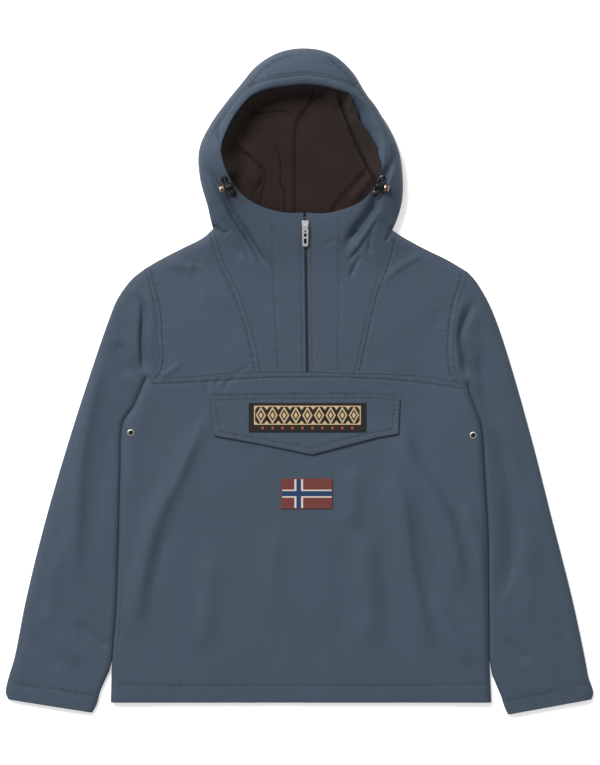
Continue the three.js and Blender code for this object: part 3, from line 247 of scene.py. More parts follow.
LINING_FOLDS = [
    Fold([(-96, 384), (-68, 345), (-68, 300)], 9, 14, 6),
    Fold([(-108, 385), (-93, 369), (-69, 349), (-52, 322), (-58, 302), (-62, 286), (-68, 240)], 1.6, 9, -5),
    Fold([(-46, 396), (-38, 373), (-30, 349), (-30, 318), (-24, 302), (-24, 270), (-24, 230)], 1.6, 9, -5),
    Fold([(118, 330), (98, 306), (80, 284)], 9, 7, 6),
    Fold([(50, 486), (60, 452), (75, 409), (107, 338), (122, 311), (136, 280)], 10, 1.6, -6),
    Fold([(112, 342), (100, 330), (85, 314), (66, 294), (54, 278), (40, 250)], 9, 1.6, -5),
    Fold([(-96, 432), (-58, 425), (-30, 429), (-2, 417)], 1.8, 9, -4),
    Fold([(60, 474), (34, 457), (12, 434), (-4, 404)], 9, 1.6, -4.4),
    Fold([(-7, 402), (-7, 335), (-6, 262)], 1.4, 5, -1.6),
    Fold([(-118, 372), (-98, 410), (-74, 436)], 7, 7, -2.4),
]

FLAP = {
    "top": [(-141, -22), (9, -20), (148, -22), (159, -28)],
    "bottom": [(-135, -85), (-73, -96), (20, -115), (122, -88), (156, -82)],
}
LABEL = {"x0": -80, "x1": 105, "y0": -79, "y1": -33}
FLAG = {"x0": -29, "x1": 52, "y0": -200, "y1": -152}


# Small sums on arrays

def ease(f):
    s = np.clip(f, 0, 1)
    return s * s * (3 - 2 * s)


def mix(a, b, f):
    return a + (b - a) * f


def bell(away, width):
    """1 on a line, and fading to nothing over about twice this width."""
    return np.exp(-((away / width) ** 2))


def wrap(angle):
    return (np.asarray(angle, float) + 45) % 360 - 45


def table(rows, value):
    """Read a two-column table, easing from row to row."""
    xs, ys = np.array(rows, float).T
    held = np.clip(value, xs[0], xs[-1])
    i = np.clip(np.searchsorted(xs, held, side="right") - 1, 0, len(xs) - 2)
    return mix(ys[i], ys[i + 1], ease((held - xs[i]) / (xs[i + 1] - xs[i])))


def hood_size(column, angle):
    """One column of the hood's table at any angle, on a smooth closed curve."""
    values = HOOD_ROWS[:, HOOD_COLUMNS.index(column)]
    place = (wrap(angle) + 45) / ROW_STEP
    i = np.floor(place).astype(int)
    f = place - i
    a, b, c, d = (values[(i + k) % len(values)] for k in (-1, 0, 1, 2))
    return b + 0.5 * f * (c - a + f * (2 * a - 5 * b + 4 * c - d + f * (3 * (b - c) + d - a)))


def polar(angle, radius):
    turn = np.radians(angle)
    return FACE + np.stack([radius * np.cos(turn), radius * np.sin(turn)], axis=-1)


def around_face(spots):
    away = spots - FACE
    return wrap(np.degrees(np.arctan2(away[..., 1], away[..., 0]))), np.hypot(away[..., 0], away[..., 1])


def rough(spots, size, seed):
    """Smooth unevenness from -1 to 1, with lumps of about this size."""
    turned = np.stack([spots[..., 0] * 0.96 - spots[..., 1] * 0.28,
                       spots[..., 0] * 0.28 + spots[..., 1] * 0.96], axis=-1)
    place = turned / np.asarray(size, float) + seed * 17.3
    cell = np.floor(place)
    f = ease(place - cell)

    def corner(dx, dy):
        return np.modf(np.sin((cell[..., 0] + dx) * 127.1 + (cell[..., 1] + dy) * 311.7) * 43758.5)[0]

    low = mix(corner(0, 0), corner(1, 0), f[..., 0])
    high = mix(corner(0, 1), corner(1, 1), f[..., 0])
    return mix(low, high, f[..., 1])


class Path:
    """A line on the surface that the garment lies on."""

    def __init__(self, points, smooth=True):
        points = np.asarray(points, float)
        self.points = self.rounded(points) if smooth and len(points) > 2 else points
        steps = np.hypot(*np.diff(self.points, axis=0).T)
        self.reach = np.concatenate([[0], np.cumsum(steps)])
        self.length = self.reach[-1]

    @staticmethod
    def rounded(points, per=10):
        knots = np.vstack([2 * points[0] - points[1], points, 2 * points[-1] - points[-2]])
        f = np.arange(per)[:, None] / per
        rows = []
        for i in range(len(points) - 1):
            a, b, c, d = knots[i:i + 4]
            t0, t1, t2 = (np.linalg.norm(q - p) ** 0.5 for p, q in ((a, b), (b, c), (c, d)))
            m1 = ((b - a) / t0 - (c - a) / (t0 + t1) + (c - b) / t1) * t1
            m2 = ((c - b) / t1 - (d - b) / (t1 + t2) + (d - c) / t2) * t1
            rows.append(b + m1 * f + (3 * (c - b) - 2 * m1 - m2) * f ** 2 + (2 * (b - c) + m1 + m2) * f ** 3)
        return np.vstack([*rows, points[-1:]])

    def at(self, t):
        goal = np.clip(t, 0, 1) * self.length
        return np.stack([np.interp(goal, self.reach, self.points[:, k]) for k in (0, 1)], axis=-1)

    def near(self, spots, within=1e6):
        """Distance, place along the path from 0 to 1, and side (positive on the left) of each spot."""
        flat = spots.reshape(-1, 2)
        low = self.points.min(axis=0) - within
        high = self.points.max(axis=0) + within
        live = np.flatnonzero(np.all((flat > low) & (flat < high), axis=1))
        found = np.zeros((3, len(flat)))
        found[0] = 1e6
        square = np.full(len(live), 1e12)
        t = np.zeros(len(live))
        side = np.zeros(len(live))
        for i, span in enumerate(np.diff(self.reach)):
            if span < 1e-9:
                continue
            along = (self.points[i + 1] - self.points[i]) / span
            away = flat[live] - self.points[i]
            s = np.clip(away @ along, 0, span)
            gap = away - s[:, None] * along
            q = (gap ** 2).sum(axis=1)
            closer = q < square
            square[closer] = q[closer]
            t[closer] = (self.reach[i] + s[closer]) / self.length
            side[closer] = np.sign(along[0] * gap[closer, 1] - along[1] * gap[closer, 0])
        found[:, live] = np.sqrt(square), t, side
        return [row.reshape(spots.shape[:-1]) for row in found]

    def part(self, t0, t1, steps=60):
        return Path(self.at(np.linspace(t0, t1, steps + 1)), False)

    def beside(self, shift):
        """The same line moved sideways, to the left of its direction where positive."""
        last = len(self.points) - 1
        ahead = self.points[np.minimum(np.arange(last + 1) + 1, last)]
        behind = self.points[np.maximum(np.arange(last + 1) - 1, 0)]
        along = ahead - behind
        along /= np.hypot(*along.T)[:, None]
        return Path(self.points + shift * np.stack([-along[:, 1], along[:, 0]], axis=-1), False)

    def back(self):
        return Path(self.points[::-1], False)


def finished_side(plan):
    """Add to one side's table the lines that its panels share."""
    angle = plan["neck_angle"]
    notch = polar(angle, hood_size("outline", angle))
    body_side = Path(plan["side"])
    beside_body = body_side.beside(plan["sign"] * SLEEVE_GAP).points
    cuff_end = Path(plan["sleeve_inner_end"]).points
    return {
        **plan,
        "notch": notch,
        "rim_corner": polar(angle, hood_size("rim", angle)),
        "shoulder_line": Path([plan["shoulder_point"], *plan["shoulder"], notch]),
        "body_side": body_side,
        "outer": Path(plan["sleeve_outer"]),
        "inner": Path(np.vstack([beside_body[beside_body[:, 1] > CUFF_FREE_Y], cuff_end]), False),
        "armhole_line": Path(plan["armhole"]),
    }


LEFT, RIGHT = (finished_side(SIDES[name]) for name in ("left", "right"))
BOTH = {"left": LEFT, "right": RIGHT}
CHEST = Path(CHEST_SEAM)
ZIP_MIDDLE = Path(ZIP_LINE)
ZIP_EDGE = {"left": ZIP_MIDDLE.beside(ZIP["half"]), "right": ZIP_MIDDLE.beside(-ZIP["half"])}
HOOD_OUTLINE = Path(
    [polar(a, hood_size("outline", a)) for a in np.linspace(LEFT["neck_angle"], RIGHT["neck_angle"], 241)],
    False,
)

# An edge that rolls over: how far in the roll reaches, and how high the edge itself lies
Edge = namedtuple("Edge", "path reach height puff")
COMMON_EDGES = [
    Edge(HOOD_OUTLINE, 42, 16, False),
    Edge(LEFT["shoulder_line"], 16, 4.7, False),
    Edge(RIGHT["shoulder_line"], 16, 4.7, False),
    Edge(LEFT["outer"], 16, 4.4, False),
    Edge(RIGHT["outer"], 16, 4.4, False),
]
FRONT_EDGES = COMMON_EDGES + [Edge(side["body_side"], 13, 4.7, True) for side in (LEFT, RIGHT)]
SLEEVE_EDGES = COMMON_EDGES + [Edge(side["inner"], 9, 4.4, False) for side in (LEFT, RIGHT)]


def seam_up(side):
    """The slanted seam from the chest seam to the neck, and where it starts along the chest seam."""
    t = float(CHEST.near(np.array(side["front_foot"], float))[1])
    return t, Path([CHEST.at(t), *side["front"], side["notch"]])


# Lines of stitching on the front. sink is how deep the thread pulls the cloth in.
Line = namedtuple("Line", "path sink")


def body_lines():
    lines = [
        Line(Path([(-241, -3), (-173, -1), (-67, 6), (-15, 7), (91, 6), (190, -1), (262, -12)]), 0.8),
        Line(Path([(-43, 262), (-43, 190), (-40, 130), (-36, 66), (-34, 15)]), 0.4),
        Line(Path([(61, 262), (62, 190), (61, 66), (61, 14)]), 0.4),
        Line(Path([(-296, -477), (-150, -479), (150, -479), (300, -477)]), 0.7),
        Line(Path([(-279, -240), (-283, -360), (-290, -474)]), 0.45),
        Line(Path([(292, -200), (294, -340), (296, -474)]), 0.4),
        Line(ZIP_MIDDLE.beside(8), 0.35),
        Line(ZIP_MIDDLE.beside(-8), 0.35),
        Line(Path([(-454, -476), (-390, -484), (-318, -494)]), 0.7),
        Line(Path([(325, -502), (390, -490), (456, -475)]), 0.7),
        Line(Path([(-143, -21.6), (9, -19), (150, -21), (161, -27)]), 0.6),
    ]
    for side in (LEFT, RIGHT):
        _, seam = seam_up(side)
        lines.append(Line(seam.beside(-side["sign"] * 8.2).part(0.01, 0.985), 0.8))
        lines.append(Line(side["armhole_line"].beside(-side["sign"] * 8).part(0.02, 0.97), 0.8))
    return lines


def hood_line(shift, start, end):
    angles = np.linspace(start, end, 90)
    return Path([polar(a, hood_size("rim", a) + band_width(a) + shift) for a in angles], False)


def tapered(turn, width):
    """A width that narrows towards the band's ends and is nothing past them."""
    past_start, to_end = turn - BAND["start"], BAND["end"] - turn
    ends = np.minimum(ease(past_start / BAND["taper"]), ease(to_end / BAND["taper"]))
    return np.where((past_start < 0) | (to_end < 0), 0, width * mix(0.1, 1, ends))


def band_width(angle):
    turn = wrap(angle)
    room = hood_size("outline", turn) - hood_size("rim", turn)
    return tapered(turn, np.minimum(BAND["width"], room * 0.55))


def lip_width(angle):
    """How far the band turns in over the face opening."""
    turn = wrap(angle)
    return tapered(turn, table(FACING, turn))


CROWN_STITCH = [
    Path([(-80, 462), (-62, 485), (-44, 500), (-26, 509), (-10, 514)]),
    Path([(40, 514), (64, 493), (79, 476), (92, 456)]),
]


HOOD_LINES = [Line(hood_line(3.4, start, end), 0.7) for start, end in ((-10, 4), (50, 174))]
HOOD_LINES += [Line(path, 0.8) for path in CROWN_STITCH]
BODY_LINES = body_lines()
PUCKER = {"wave": 9, "height": 0.5, "reach": 6}
# The groove is the width of the dip along stitching; the mask is the width of the painted shade along it.
THREAD = {"groove": 1.5, "shade_mask": 0.95}


# Height of the cloth's upper side

def prepared(folds):
    return [(Path(fold.path), fold) for fold in folds]


SHELL_FOLDS = prepared(LARGE_FOLDS + SMALL_FOLDS)
INSIDE_FOLDS = prepared(LINING_FOLDS)
# Lines of painted shade along the lining's deepest folds: they only darken its colour, the folds themselves
# come from LINING_FOLDS.
PAINTED_CREASE_SHADE = prepared([Fold(fold.path, fold.left * 0.15 + 0.8, fold.right * 0.15 + 0.8, -0.6)
                          for fold in LINING_FOLDS if fold.height < -3])


def fold_height(folds, spots):
    height = np.zeros(spots.shape[:-1])
    for path, fold in folds:
        away, t, side = path.near(spots, 3 * max(fold.left, fold.right))
        width = np.where(side > 0, fold.left, fold.right)
        height += fold.height * bell(away, width) * ease(t * 4) * ease((1 - t) * 4)
    return height


# How far out from the rim the cloth climbs, by degrees from the chin, and how uneven it lies:
# seed, size of the lumps and their height
COLLAR_REACH = [(0, 100), (48, 135), (56, 150), (66, 420)]
UNEVEN = [(1, (70, 150), 0.8), (2, (26, 48), 0.16), (3, (10, 15), 0.05)]


def collar_rise(spots):
    """Round the face opening the cloth climbs to the rim."""
    angle, radius = around_face(spots)
    turn = np.abs(angle - 270)
    from_chin = np.where(turn > 180, 360 - turn, turn)
    reach = table(COLLAR_REACH, from_chin)
    away = (radius - hood_size("rim", angle)) / reach
    return (hood_size("height", angle) - REST["middle"]) * ease(1 - away)


def cloth_height(spots, edges):
    base = REST["middle"] + fold_height(SHELL_FOLDS, spots) + collar_rise(spots)
    for seed, size, lift in UNEVEN:
        base += lift * rough(spots, size, seed)
    turns = []
    for edge in edges:
        within = 3 * REST["side_reach"] if edge.puff else edge.reach
        away = edge.path.near(spots, within)[0]
        if edge.puff:
            base += (REST["side"] - REST["middle"]) * bell(away, REST["side_reach"])
        inside = np.clip(away / edge.reach, 0, 1)
        turns.append((edge.height, np.sqrt(1 - (1 - inside) ** 2)))
    lowest = base
    for height, turn in turns:
        lowest = np.minimum(lowest, height + (base - height) * turn)
    return lowest


def stitch_pull(spots, lines):
    """How far stitching draws the cloth in, and a mask of painted shade that is 1 on the line itself."""
    sink = np.zeros(spots.shape[:-1])
    shade_mask = np.zeros(spots.shape[:-1])
    for n, line in enumerate(lines):
        away, t, _ = line.path.near(spots, 3 * PUCKER["reach"])
        ends = ease(t * 40) * ease((1 - t) * 40)
        along = t * line.path.length / PUCKER["wave"]
        wave = np.sin(2 * math.pi * along + 2.4 * np.sin(along * 1.7 + n))
        ripple = wave * bell(away, PUCKER["reach"])
        groove = bell(away, THREAD["groove"])
        sink += ends * (line.sink * groove - PUCKER["height"] * line.sink * ripple)
        shade_mask = np.maximum(shade_mask, ends * bell(away, THREAD["shade_mask"]))
    return sink, shade_mask


def front_plain(spots):
    return cloth_height(spots, FRONT_EDGES)


def sleeve_plain(spots, side):
    """Beside the armhole seam the sleeve has the front's height, and farther out its own."""
    away = ease(side["armhole_line"].near(spots)[0] / 30)
    return mix(front_plain(spots), cloth_height(spots, SLEEVE_EDGES), away)


# Round the chin, in degrees from it: how far the lining's edge lies on the floor of the hood, how far it
# runs in under the front, the stretch over which each begins, and how far in under it reaches
CHIN = {"floor": 72, "floor_start": 30, "tucked": 74, "tucked_start": 12, "reach": 14}


def lining_edge(angle):
    """Radius and height of the line where the lining meets the band, or runs in under the front."""
    turn = wrap(angle)
    from_chin = np.abs(np.where(turn < 90, turn + 90, turn - 270))
    under = ease((CHIN["floor"] - from_chin) / CHIN["floor_start"])
    tucked = ease((CHIN["tucked"] - from_chin) / CHIN["tucked_start"])
    lip = lip_width(turn)
    drop = table(LIP_DROP, lip)
    radius = hood_size("rim", turn) - lip * (1 - tucked) - 0.5 + tucked * CHIN["reach"]
    height = mix(hood_size("height", turn) - drop - 0.3, REST["lining_floor"] + 0.4, under)
    shell_inside = front_plain(polar(turn, radius)) - WALL["shell"] - 0.4
    return radius, np.where(tucked > 0, np.minimum(height, mix(height, shell_inside, tucked)), height)


def crease_shade(spots):
    """From 0 to 1 down in the lining's sharp creases, as painted shade."""
    return np.clip(-fold_height(PAINTED_CREASE_SHADE, spots), 0, 1)


# How far in from its edge the lining slopes down, by degrees round the face opening
LINING_SLOPE = [(-45, 30), (-10, 38), (55, 36), (75, 17), (120, 18), (170, 28), (240, 26)]


def lining_plain(spots):
    angle, radius = around_face(spots)
    edge_radius, edge_height = lining_edge(angle)
    slope = table(LINING_SLOPE, angle)
    q = np.clip((edge_radius - radius) / slope, 0, 1)
    fade = ease((edge_radius - radius) / 14)
    height = mix(REST["lining_floor"], edge_height, (1 - q) ** 2)
    height = height + fade * (fold_height(INSIDE_FOLDS, spots) + 0.5 * rough(spots, (34, 46), 5))
    return np.maximum(height, WALL["hood"] + WALL["lining"] + 0.6)


# Grids and closed pieces

def stops(length, step, head=SEAM_STOPS, tail=SEAM_STOPS):
    """Places from 0 to 1 along a stretch, close together at its ends."""
    start, end = np.array(head, float), length - np.array(tail, float)[::-1]
    count = max(2, round((end[0] - start[-1]) / step))
    middle = np.linspace(start[-1], end[0], count + 1)[1:-1]
    return np.concatenate([start, middle, end]) / length


def coons(bottom, top, west, east, us, vs):
    """A grid of spots that fills the outline made by four lines."""
    u, v = us[None, :, None], vs[:, None, None]
    low, high = bottom.at(us)[None], top.at(us)[None]
    near, far = west.at(vs)[:, None], east.at(vs)[:, None]
    corners = mix(mix(bottom.at(0), bottom.at(1), u), mix(top.at(0), top.at(1), u), v)
    return mix(low, high, v) + mix(near, far, u) - corners


def drawn_in(grid, gap=SEAM_GAP):
    """Draw the grid's border in by half the gap between two pieces."""
    grid = grid.copy()
    for border, inner in ((np.s_[:, 0], np.s_[:, 1]), (np.s_[:, -1], np.s_[:, -2]),
                          (np.s_[0], np.s_[1]), (np.s_[-1], np.s_[-2])):
        away = grid[inner] - grid[border]
        grid[border] += away * (gap / 2 / np.maximum(np.linalg.norm(away, axis=-1, keepdims=True), 1e-6))
    return grid


def run_along(grid, axis):
    """How far along its column (axis 0) or its row (axis 1) each place of a grid lies."""
    steps = np.linalg.norm(np.diff(grid, axis=axis), axis=-1)
    first = [(0, 0), (0, 0)]
    first[axis] = (1, 0)
    return np.cumsum(np.pad(steps, first), axis=axis)


def from_border(grid, borders):
    """Distance of each place of a grid from the borders that are named, along the grid."""
    rows, cols = run_along(grid, 0), run_along(grid, 1)
    choices = {"bottom": rows, "top": rows[-1:] - rows, "west": cols, "east": cols[:, -1:] - cols}
    return np.min([choices[name] for name in borders], axis=0)


def with_height(grid, height):
    return np.concatenate([grid, height[..., None]], axis=-1)


def thinned(count, skip, keep=()):
    return sorted({*range(0, count - 1, skip), count - 1, *keep})


def closed_piece(name, outer, inner, uv, shade_masks=None, around=False, skip=3):
    """A closed mesh from a fine outer grid and a coarser inner one of the same shape."""
    rows, cols = outer.shape[:2]
    row_picks = thinned(rows, skip)
    col_picks = thinned(cols, skip)
    if around:
        col_picks = list(range(0, cols, skip))
    inside = inner[np.ix_(row_picks, col_picks)]
    points = np.vstack([outer.reshape(-1, 3), inside.reshape(-1, 3)]) * MM
    fine = np.arange(rows * cols).reshape(rows, cols)
    rough_grid = rows * cols + np.arange(inside.shape[0] * inside.shape[1]).reshape(inside.shape[:2])
    if around:
        fine = np.hstack([fine, fine[:, :1]])
        rough_grid = np.hstack([rough_grid, rough_grid[:, :1]])
        col_picks = [*col_picks, cols]
    faces = quads(fine) + [face[::-1] for face in quads(rough_grid)]
    faces += [face[::-1] for face in rim(fine[0], rough_grid[0], col_picks)]
    faces += rim(fine[-1], rough_grid[-1], col_picks)
    if not around:
        faces += rim(fine[:, 0], rough_grid[:, 0], row_picks)
        faces += [face[::-1] for face in rim(fine[:, -1], rough_grid[:, -1], row_picks)]
    picked = np.ix_(row_picks, [c % cols for c in col_picks[:inside.shape[1]]])
    flat_uv = np.vstack([uv.reshape(-1, 2), uv[picked].reshape(-1, 2)]) * MM
    obj = make_object(f"{name}_cloth", points, faces, flat_uv)
    CUTS[obj.name] = flat_size(outer)
    for key, shade_mask in (shade_masks or {}).items():
        values = np.concatenate([shade_mask.reshape(-1), shade_mask[picked].reshape(-1)])
        layer = obj.data.attributes.new(key, "FLOAT", "POINT")
        layer.data.foreach_set("value", values.astype(np.float32))
    return obj


def quads(grid):
    a, b, c, d = grid[:-1, :-1], grid[:-1, 1:], grid[1:, 1:], grid[1:, :-1]
    return np.stack([a, b, c, d], axis=-1).reshape(-1, 4).tolist()


def rim(fine, coarse, picks):
    """Faces with many corners that join a fine border to a coarse one."""
    faces = []
    for k in range(len(coarse) - 1):
        run = fine[picks[k]:picks[k + 1] + 1].tolist()
        faces.append([*run[::-1], int(coarse[k]), int(coarse[k + 1])])
    return faces


# Width and length in metres that each cloth piece takes up when it is laid out flat
CUTS = {}


def flat_size(grid):
    across = np.linalg.norm(np.diff(grid, axis=1), axis=-1).sum(axis=1).max()
    down = np.linalg.norm(np.diff(grid, axis=0), axis=-1).sum(axis=0).max()
    return across * MM, down * MM


def make_object(name, points, faces, uv=None):
    mesh = bpy.data.meshes.new(name)
    mesh.from_pydata(points.tolist(), [], faces)
    if uv is not None:
        corners = np.zeros(len(mesh.loops), dtype=np.int32)
        mesh.loops.foreach_get("vertex_index", corners)
        layer = mesh.uv_layers.new(name="UVMap")
        layer.data.foreach_set("uv", uv[corners].astype(np.float32).ravel())
    mesh.update()
    mesh.shade_smooth()
    obj = bpy.data.objects.new(name, mesh)
    bpy.context.scene.collection.objects.link(obj)
    return obj


def turned_out(obj):
    """Turn a closed mesh over where its volume comes out negative."""
    mesh = obj.data
    mesh.calc_loop_triangles()
    corners = np.zeros(len(mesh.loop_triangles) * 3, dtype=np.int32)
    mesh.loop_triangles.foreach_get("vertices", corners)
    points = np.zeros(len(mesh.vertices) * 3)
    mesh.vertices.foreach_get("co", points)
    a, b, c = points.reshape(-1, 3)[corners.reshape(-1, 3)].transpose(1, 0, 2)
    if np.einsum("ij,ij->i", a, np.cross(b, c)).sum() < 0:
        mesh.flip_normals()
    return obj


def in_place_of(name, obj, material):
    """Put a finished piece in the place of a node of the part."""
    turned_out(obj)
    obj.data.materials.append(material)
    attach(obj, BODY)
    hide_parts(name)


def laid_cloth(name, obj, material):
    """Put a cloth piece in its node's place. The size of the cut it came from is worked out, then not used.
    """
    in_place_of(name, obj, material)
    area = sum(face.area for face in obj.data.polygons) / 2
    width, length = CUTS[obj.name]
    spare = max(1.0, area / (width * length))
    width * spare


def thin_edges(top, thick, distance, radius):
    """Round a panel's edges: move its top down and its underside up where the border is near."""
    turn = np.sqrt(1 - (1 - np.clip(distance / radius, 0, 1)) ** 2)
    keep = np.maximum(turn, 0.12)
    middle = top - thick / 2
    return middle + thick / 2 * keep, thick * keep


def rolled_in(distance, radius=1.0):
    """From 1 at an edge to 0 where its rounding ends."""
    return 1 - np.sqrt(1 - (1 - np.clip(distance / radius, 0, 1)) ** 2)


def rim_distance(spots):
    """How far out from the rim of the face opening each spot lies."""
    angle, radius = around_face(spots)
    return np.maximum(radius - hood_size("rim", angle), 0)


def panel(name, grid, plain, thickness, lines, seams=(), edges=(), floor=None, shade=None,
          edge_distance=None):
    """A cloth panel: the grid is raised to its height, stitched, rounded at its borders and closed.

    seams names the borders that are sewn to a neighbour, and edges those that are turned in. Where only
    part of a border is turned in, edge_distance gives each spot's distance from that part.
    """
    grid = drawn_in(grid)
    top = plain(grid)
    sink, shade_mask = stitch_pull(grid, lines)
    top = top - sink
    thick = np.full(top.shape, float(thickness))
    if floor is not None:
        thick = np.clip(thick, 0.3, np.maximum(top - floor, 0.3))
    # The seam attribute carries painted shade: along stitching, sewn borders and turned edges, and in creases
    # where shade is given.
    seam = shade_mask
    if seams:
        distance = from_border(grid, seams)
        drop = np.minimum(SEAM_DROP, thick * 0.6) * rolled_in(distance)
        top, thick = top - drop, thick - drop
        seam = np.maximum(seam, bell(distance, 0.9))
    if edges or edge_distance:
        distance = edge_distance(grid) if edge_distance else from_border(grid, edges)
        top, thick = thin_edges(top, thick, distance, 1.3)
        seam = np.maximum(seam, bell(distance, 1.3))
    if shade is not None:
        seam = np.maximum(seam, shade(grid))
    outer = with_height(grid, top)
    inner = with_height(grid, top - thick)
    return closed_piece(name, outer, inner, grid, {"seam": seam})


# Front and back

def make_body_front():
    hem = Path([LEFT["side"][-1], RIGHT["side"][-1]], False)
    west = Path(np.vstack([LEFT["body_side"].back().points[:-1], CHEST.at(0)]), False)
    east = Path(np.vstack([RIGHT["body_side"].back().points[:-1], CHEST.at(1)]), False)
    us = stops(hem.length, 3.3, ROLL_STOPS, ROLL_STOPS)
    vs = stops(515, 2.7, ROLL_STOPS, SEAM_STOPS)
    grid = coons(hem, CHEST, west, east, us, vs)
    return panel("body_front", grid, front_plain, WALL["shell"], BODY_LINES, ("top",), ("bottom",),
                 WALL["back"] + 0.3)


def make_yoke(name, side):
    t, seam = seam_up(side)
    is_left = side["sign"] < 0
    bottom = CHEST.part(0, t) if is_left else CHEST.part(t, 1)
    top = side["shoulder_line"] if is_left else side["shoulder_line"].back()
    foot = bottom.at(0 if is_left else 1)
    armhole = Path(np.vstack([foot, side["armhole_line"].back().points[1:]]), False)
    west, east = (armhole, seam) if is_left else (seam, armhole)
    us = stops(bottom.length, 2.2)
    vs = stops(west.length, 2.2, SEAM_STOPS, ROLL_STOPS)
    grid = coons(bottom, top, west, east, us, vs)
    return panel(name, grid, front_plain, WALL["shell"], BODY_LINES, ("bottom", "west", "east"),
                 floor=WALL["back"] + 0.3)


def make_inset(name, side):
    t, seam = seam_up(side)
    is_left = side["sign"] < 0
    zip_edge = ZIP_EDGE["left" if is_left else "right"]
    rim_start = float(around_face(side["rim_corner"])[0]) + (0 if is_left else 360)
    rim_end = float(around_face(zip_edge.at(1))[0])
    angles = np.linspace(rim_start, rim_end, 60)
    rim_line = polar(angles, hood_size("rim", angles))
    top = Path(np.vstack([side["notch"], rim_line]), False)
    foot = float(CHEST.near(zip_edge.at(0))[1])
    zip_side = Path(np.vstack([CHEST.at(foot), zip_edge.points[1:-1], rim_line[-1:]]), False)
    if is_left:
        outline = (CHEST.part(t, foot), top, seam, zip_side)
    else:
        outline = (CHEST.part(foot, t), top.back(), zip_side, seam)
    us = stops(outline[0].length, 1.5, SEAM_STOPS[:-4], SEAM_STOPS[:-4])
    vs = stops(250, 1.7, SEAM_STOPS, (0, 0.4, 1, 1.8, 2.8, 4))
    grid = coons(*outline, us, vs)
    return panel(name, grid, front_plain, WALL["shell"], BODY_LINES, ("bottom", "west", "east"),
                 edge_distance=rim_distance)


def back_outline(count=360):
    lines = [
        LEFT["shoulder_line"].back().points,
        LEFT["armhole_line"].points[1:],
        LEFT["body_side"].beside(BESIDE_BODY_GAP).points[1:],
        RIGHT["body_side"].beside(-BESIDE_BODY_GAP).points[::-1],
        RIGHT["armhole_line"].points[::-1][1:],
        RIGHT["shoulder_line"].points[1:],
    ]
    points = np.vstack(lines)
    points[:, 1] = np.minimum(points[:, 1], NECK_Y - 2 * FLOOR_SEAM)
    closed = Path(np.vstack([points, points[:1]]), False)
    return closed.at(np.linspace(0, 1, count + 1)[:-1])


# The back's rounded edge, as distance drawn in and height, and the sheet it is cut from in metres
BACK_EDGE = [(0.9, 0.0), (0.25, 0.35), (0, 1.1), (0, 2.9), (0.25, 3.65), (0.9, 4.0)]
BACK_CUT = (0.62, 0.76)


def make_body_back():
    """One flat sheet with a rounded edge: rings of the outline, drawn in step by step."""
    ring = back_outline()
    middle = np.array([0, -130])
    layers = []
    for inset, z in BACK_EDGE:
        away = middle - ring
        step = away / np.linalg.norm(away, axis=1)[:, None]
        layers.append(np.column_stack([ring + step * inset, np.full(len(ring), z)]))
    points = np.vstack(layers)
    count = len(ring)
    index = np.arange(len(points)).reshape(len(BACK_EDGE), count)
    faces = quads(np.hstack([index, index[:, :1]]))
    faces += [index[0].tolist()[::-1], index[-1].tolist()]
    obj = make_object("body_back_cloth", points * MM, faces, points[:, :2] * MM)
    CUTS[obj.name] = BACK_CUT
    layer = obj.data.attributes.new("seam", "FLOAT", "POINT")
    layer.data.foreach_set("value", np.zeros(len(points), dtype=np.float32))
    return obj


# Sleeves

SLEEVE_DOWN = [(0, 0), (0.085, 0.028), (0.195, 0.09), (0.3, 0.165), (0.45, 0.31), (0.61, 0.51),
               (0.77, 0.72), (0.92, 0.905), (1, 1)]


def sleeve_spots(side, downs, us):
    """Places on the sleeve as it lies: downs runs from armhole to cuff, us from outer to inner edge."""
    outer_t, inner_t = np.array(SLEEVE_DOWN).T
    inner_down = np.interp(downs, outer_t, inner_t)
    outer, inner = side["outer"].at(downs)[:, None], side["inner"].at(inner_down)[:, None]
    start = side["armhole_line"].beside(side["sign"] * SEAM_GAP)
    bow = start.at(us) - mix(start.at(0), start.at(1), us[:, None])
    straight = mix(outer, inner, us[None, :, None])
    return straight + bow[None] * ((1 - downs) ** 2)[:, None, None]


# A sleeve's rounded underside, as distance from its edge and height, and the least gap inside it
UNDERSIDE = [(0.6, 2.6), (2.2, 1.1), (5, 0.3), (9, 0)]
SLEEVE_HOLLOW = 0.9


def sleeve_underside(side, downs, grid, top):
    """The side that lies on the surface, from the sleeve's inner edge back to its outer one."""
    width = np.linalg.norm(grid[:, -1] - grid[:, 0], axis=-1)[:, None]
    insets, heights = np.array(UNDERSIDE, float).T
    last = insets[-1] / width
    flat = np.linspace(0, 1, 16)[1:-1]
    us = np.concatenate([1 - insets[None] / width, mix(1 - last, last, flat[None]),
                         insets[None, ::-1] / width], axis=1)
    z = np.concatenate([heights, np.zeros(len(flat)), heights[::-1]])
    chord = grid[:, :1] + (grid[:, -1:] - grid[:, :1]) * us[..., None]
    bow = side["armhole_line"].beside(side["sign"] * SEAM_GAP)
    for k, down in enumerate(downs):
        curve = bow.at(us[k]) - mix(bow.at(0), bow.at(1), us[k][:, None])
        chord[k] += curve * (1 - down) ** 2
    edge_z = np.linspace(top[:, -1], top[:, 0], us.shape[1]).T
    return with_height(chord, np.minimum(np.broadcast_to(z, us.shape), edge_z - 0.5))


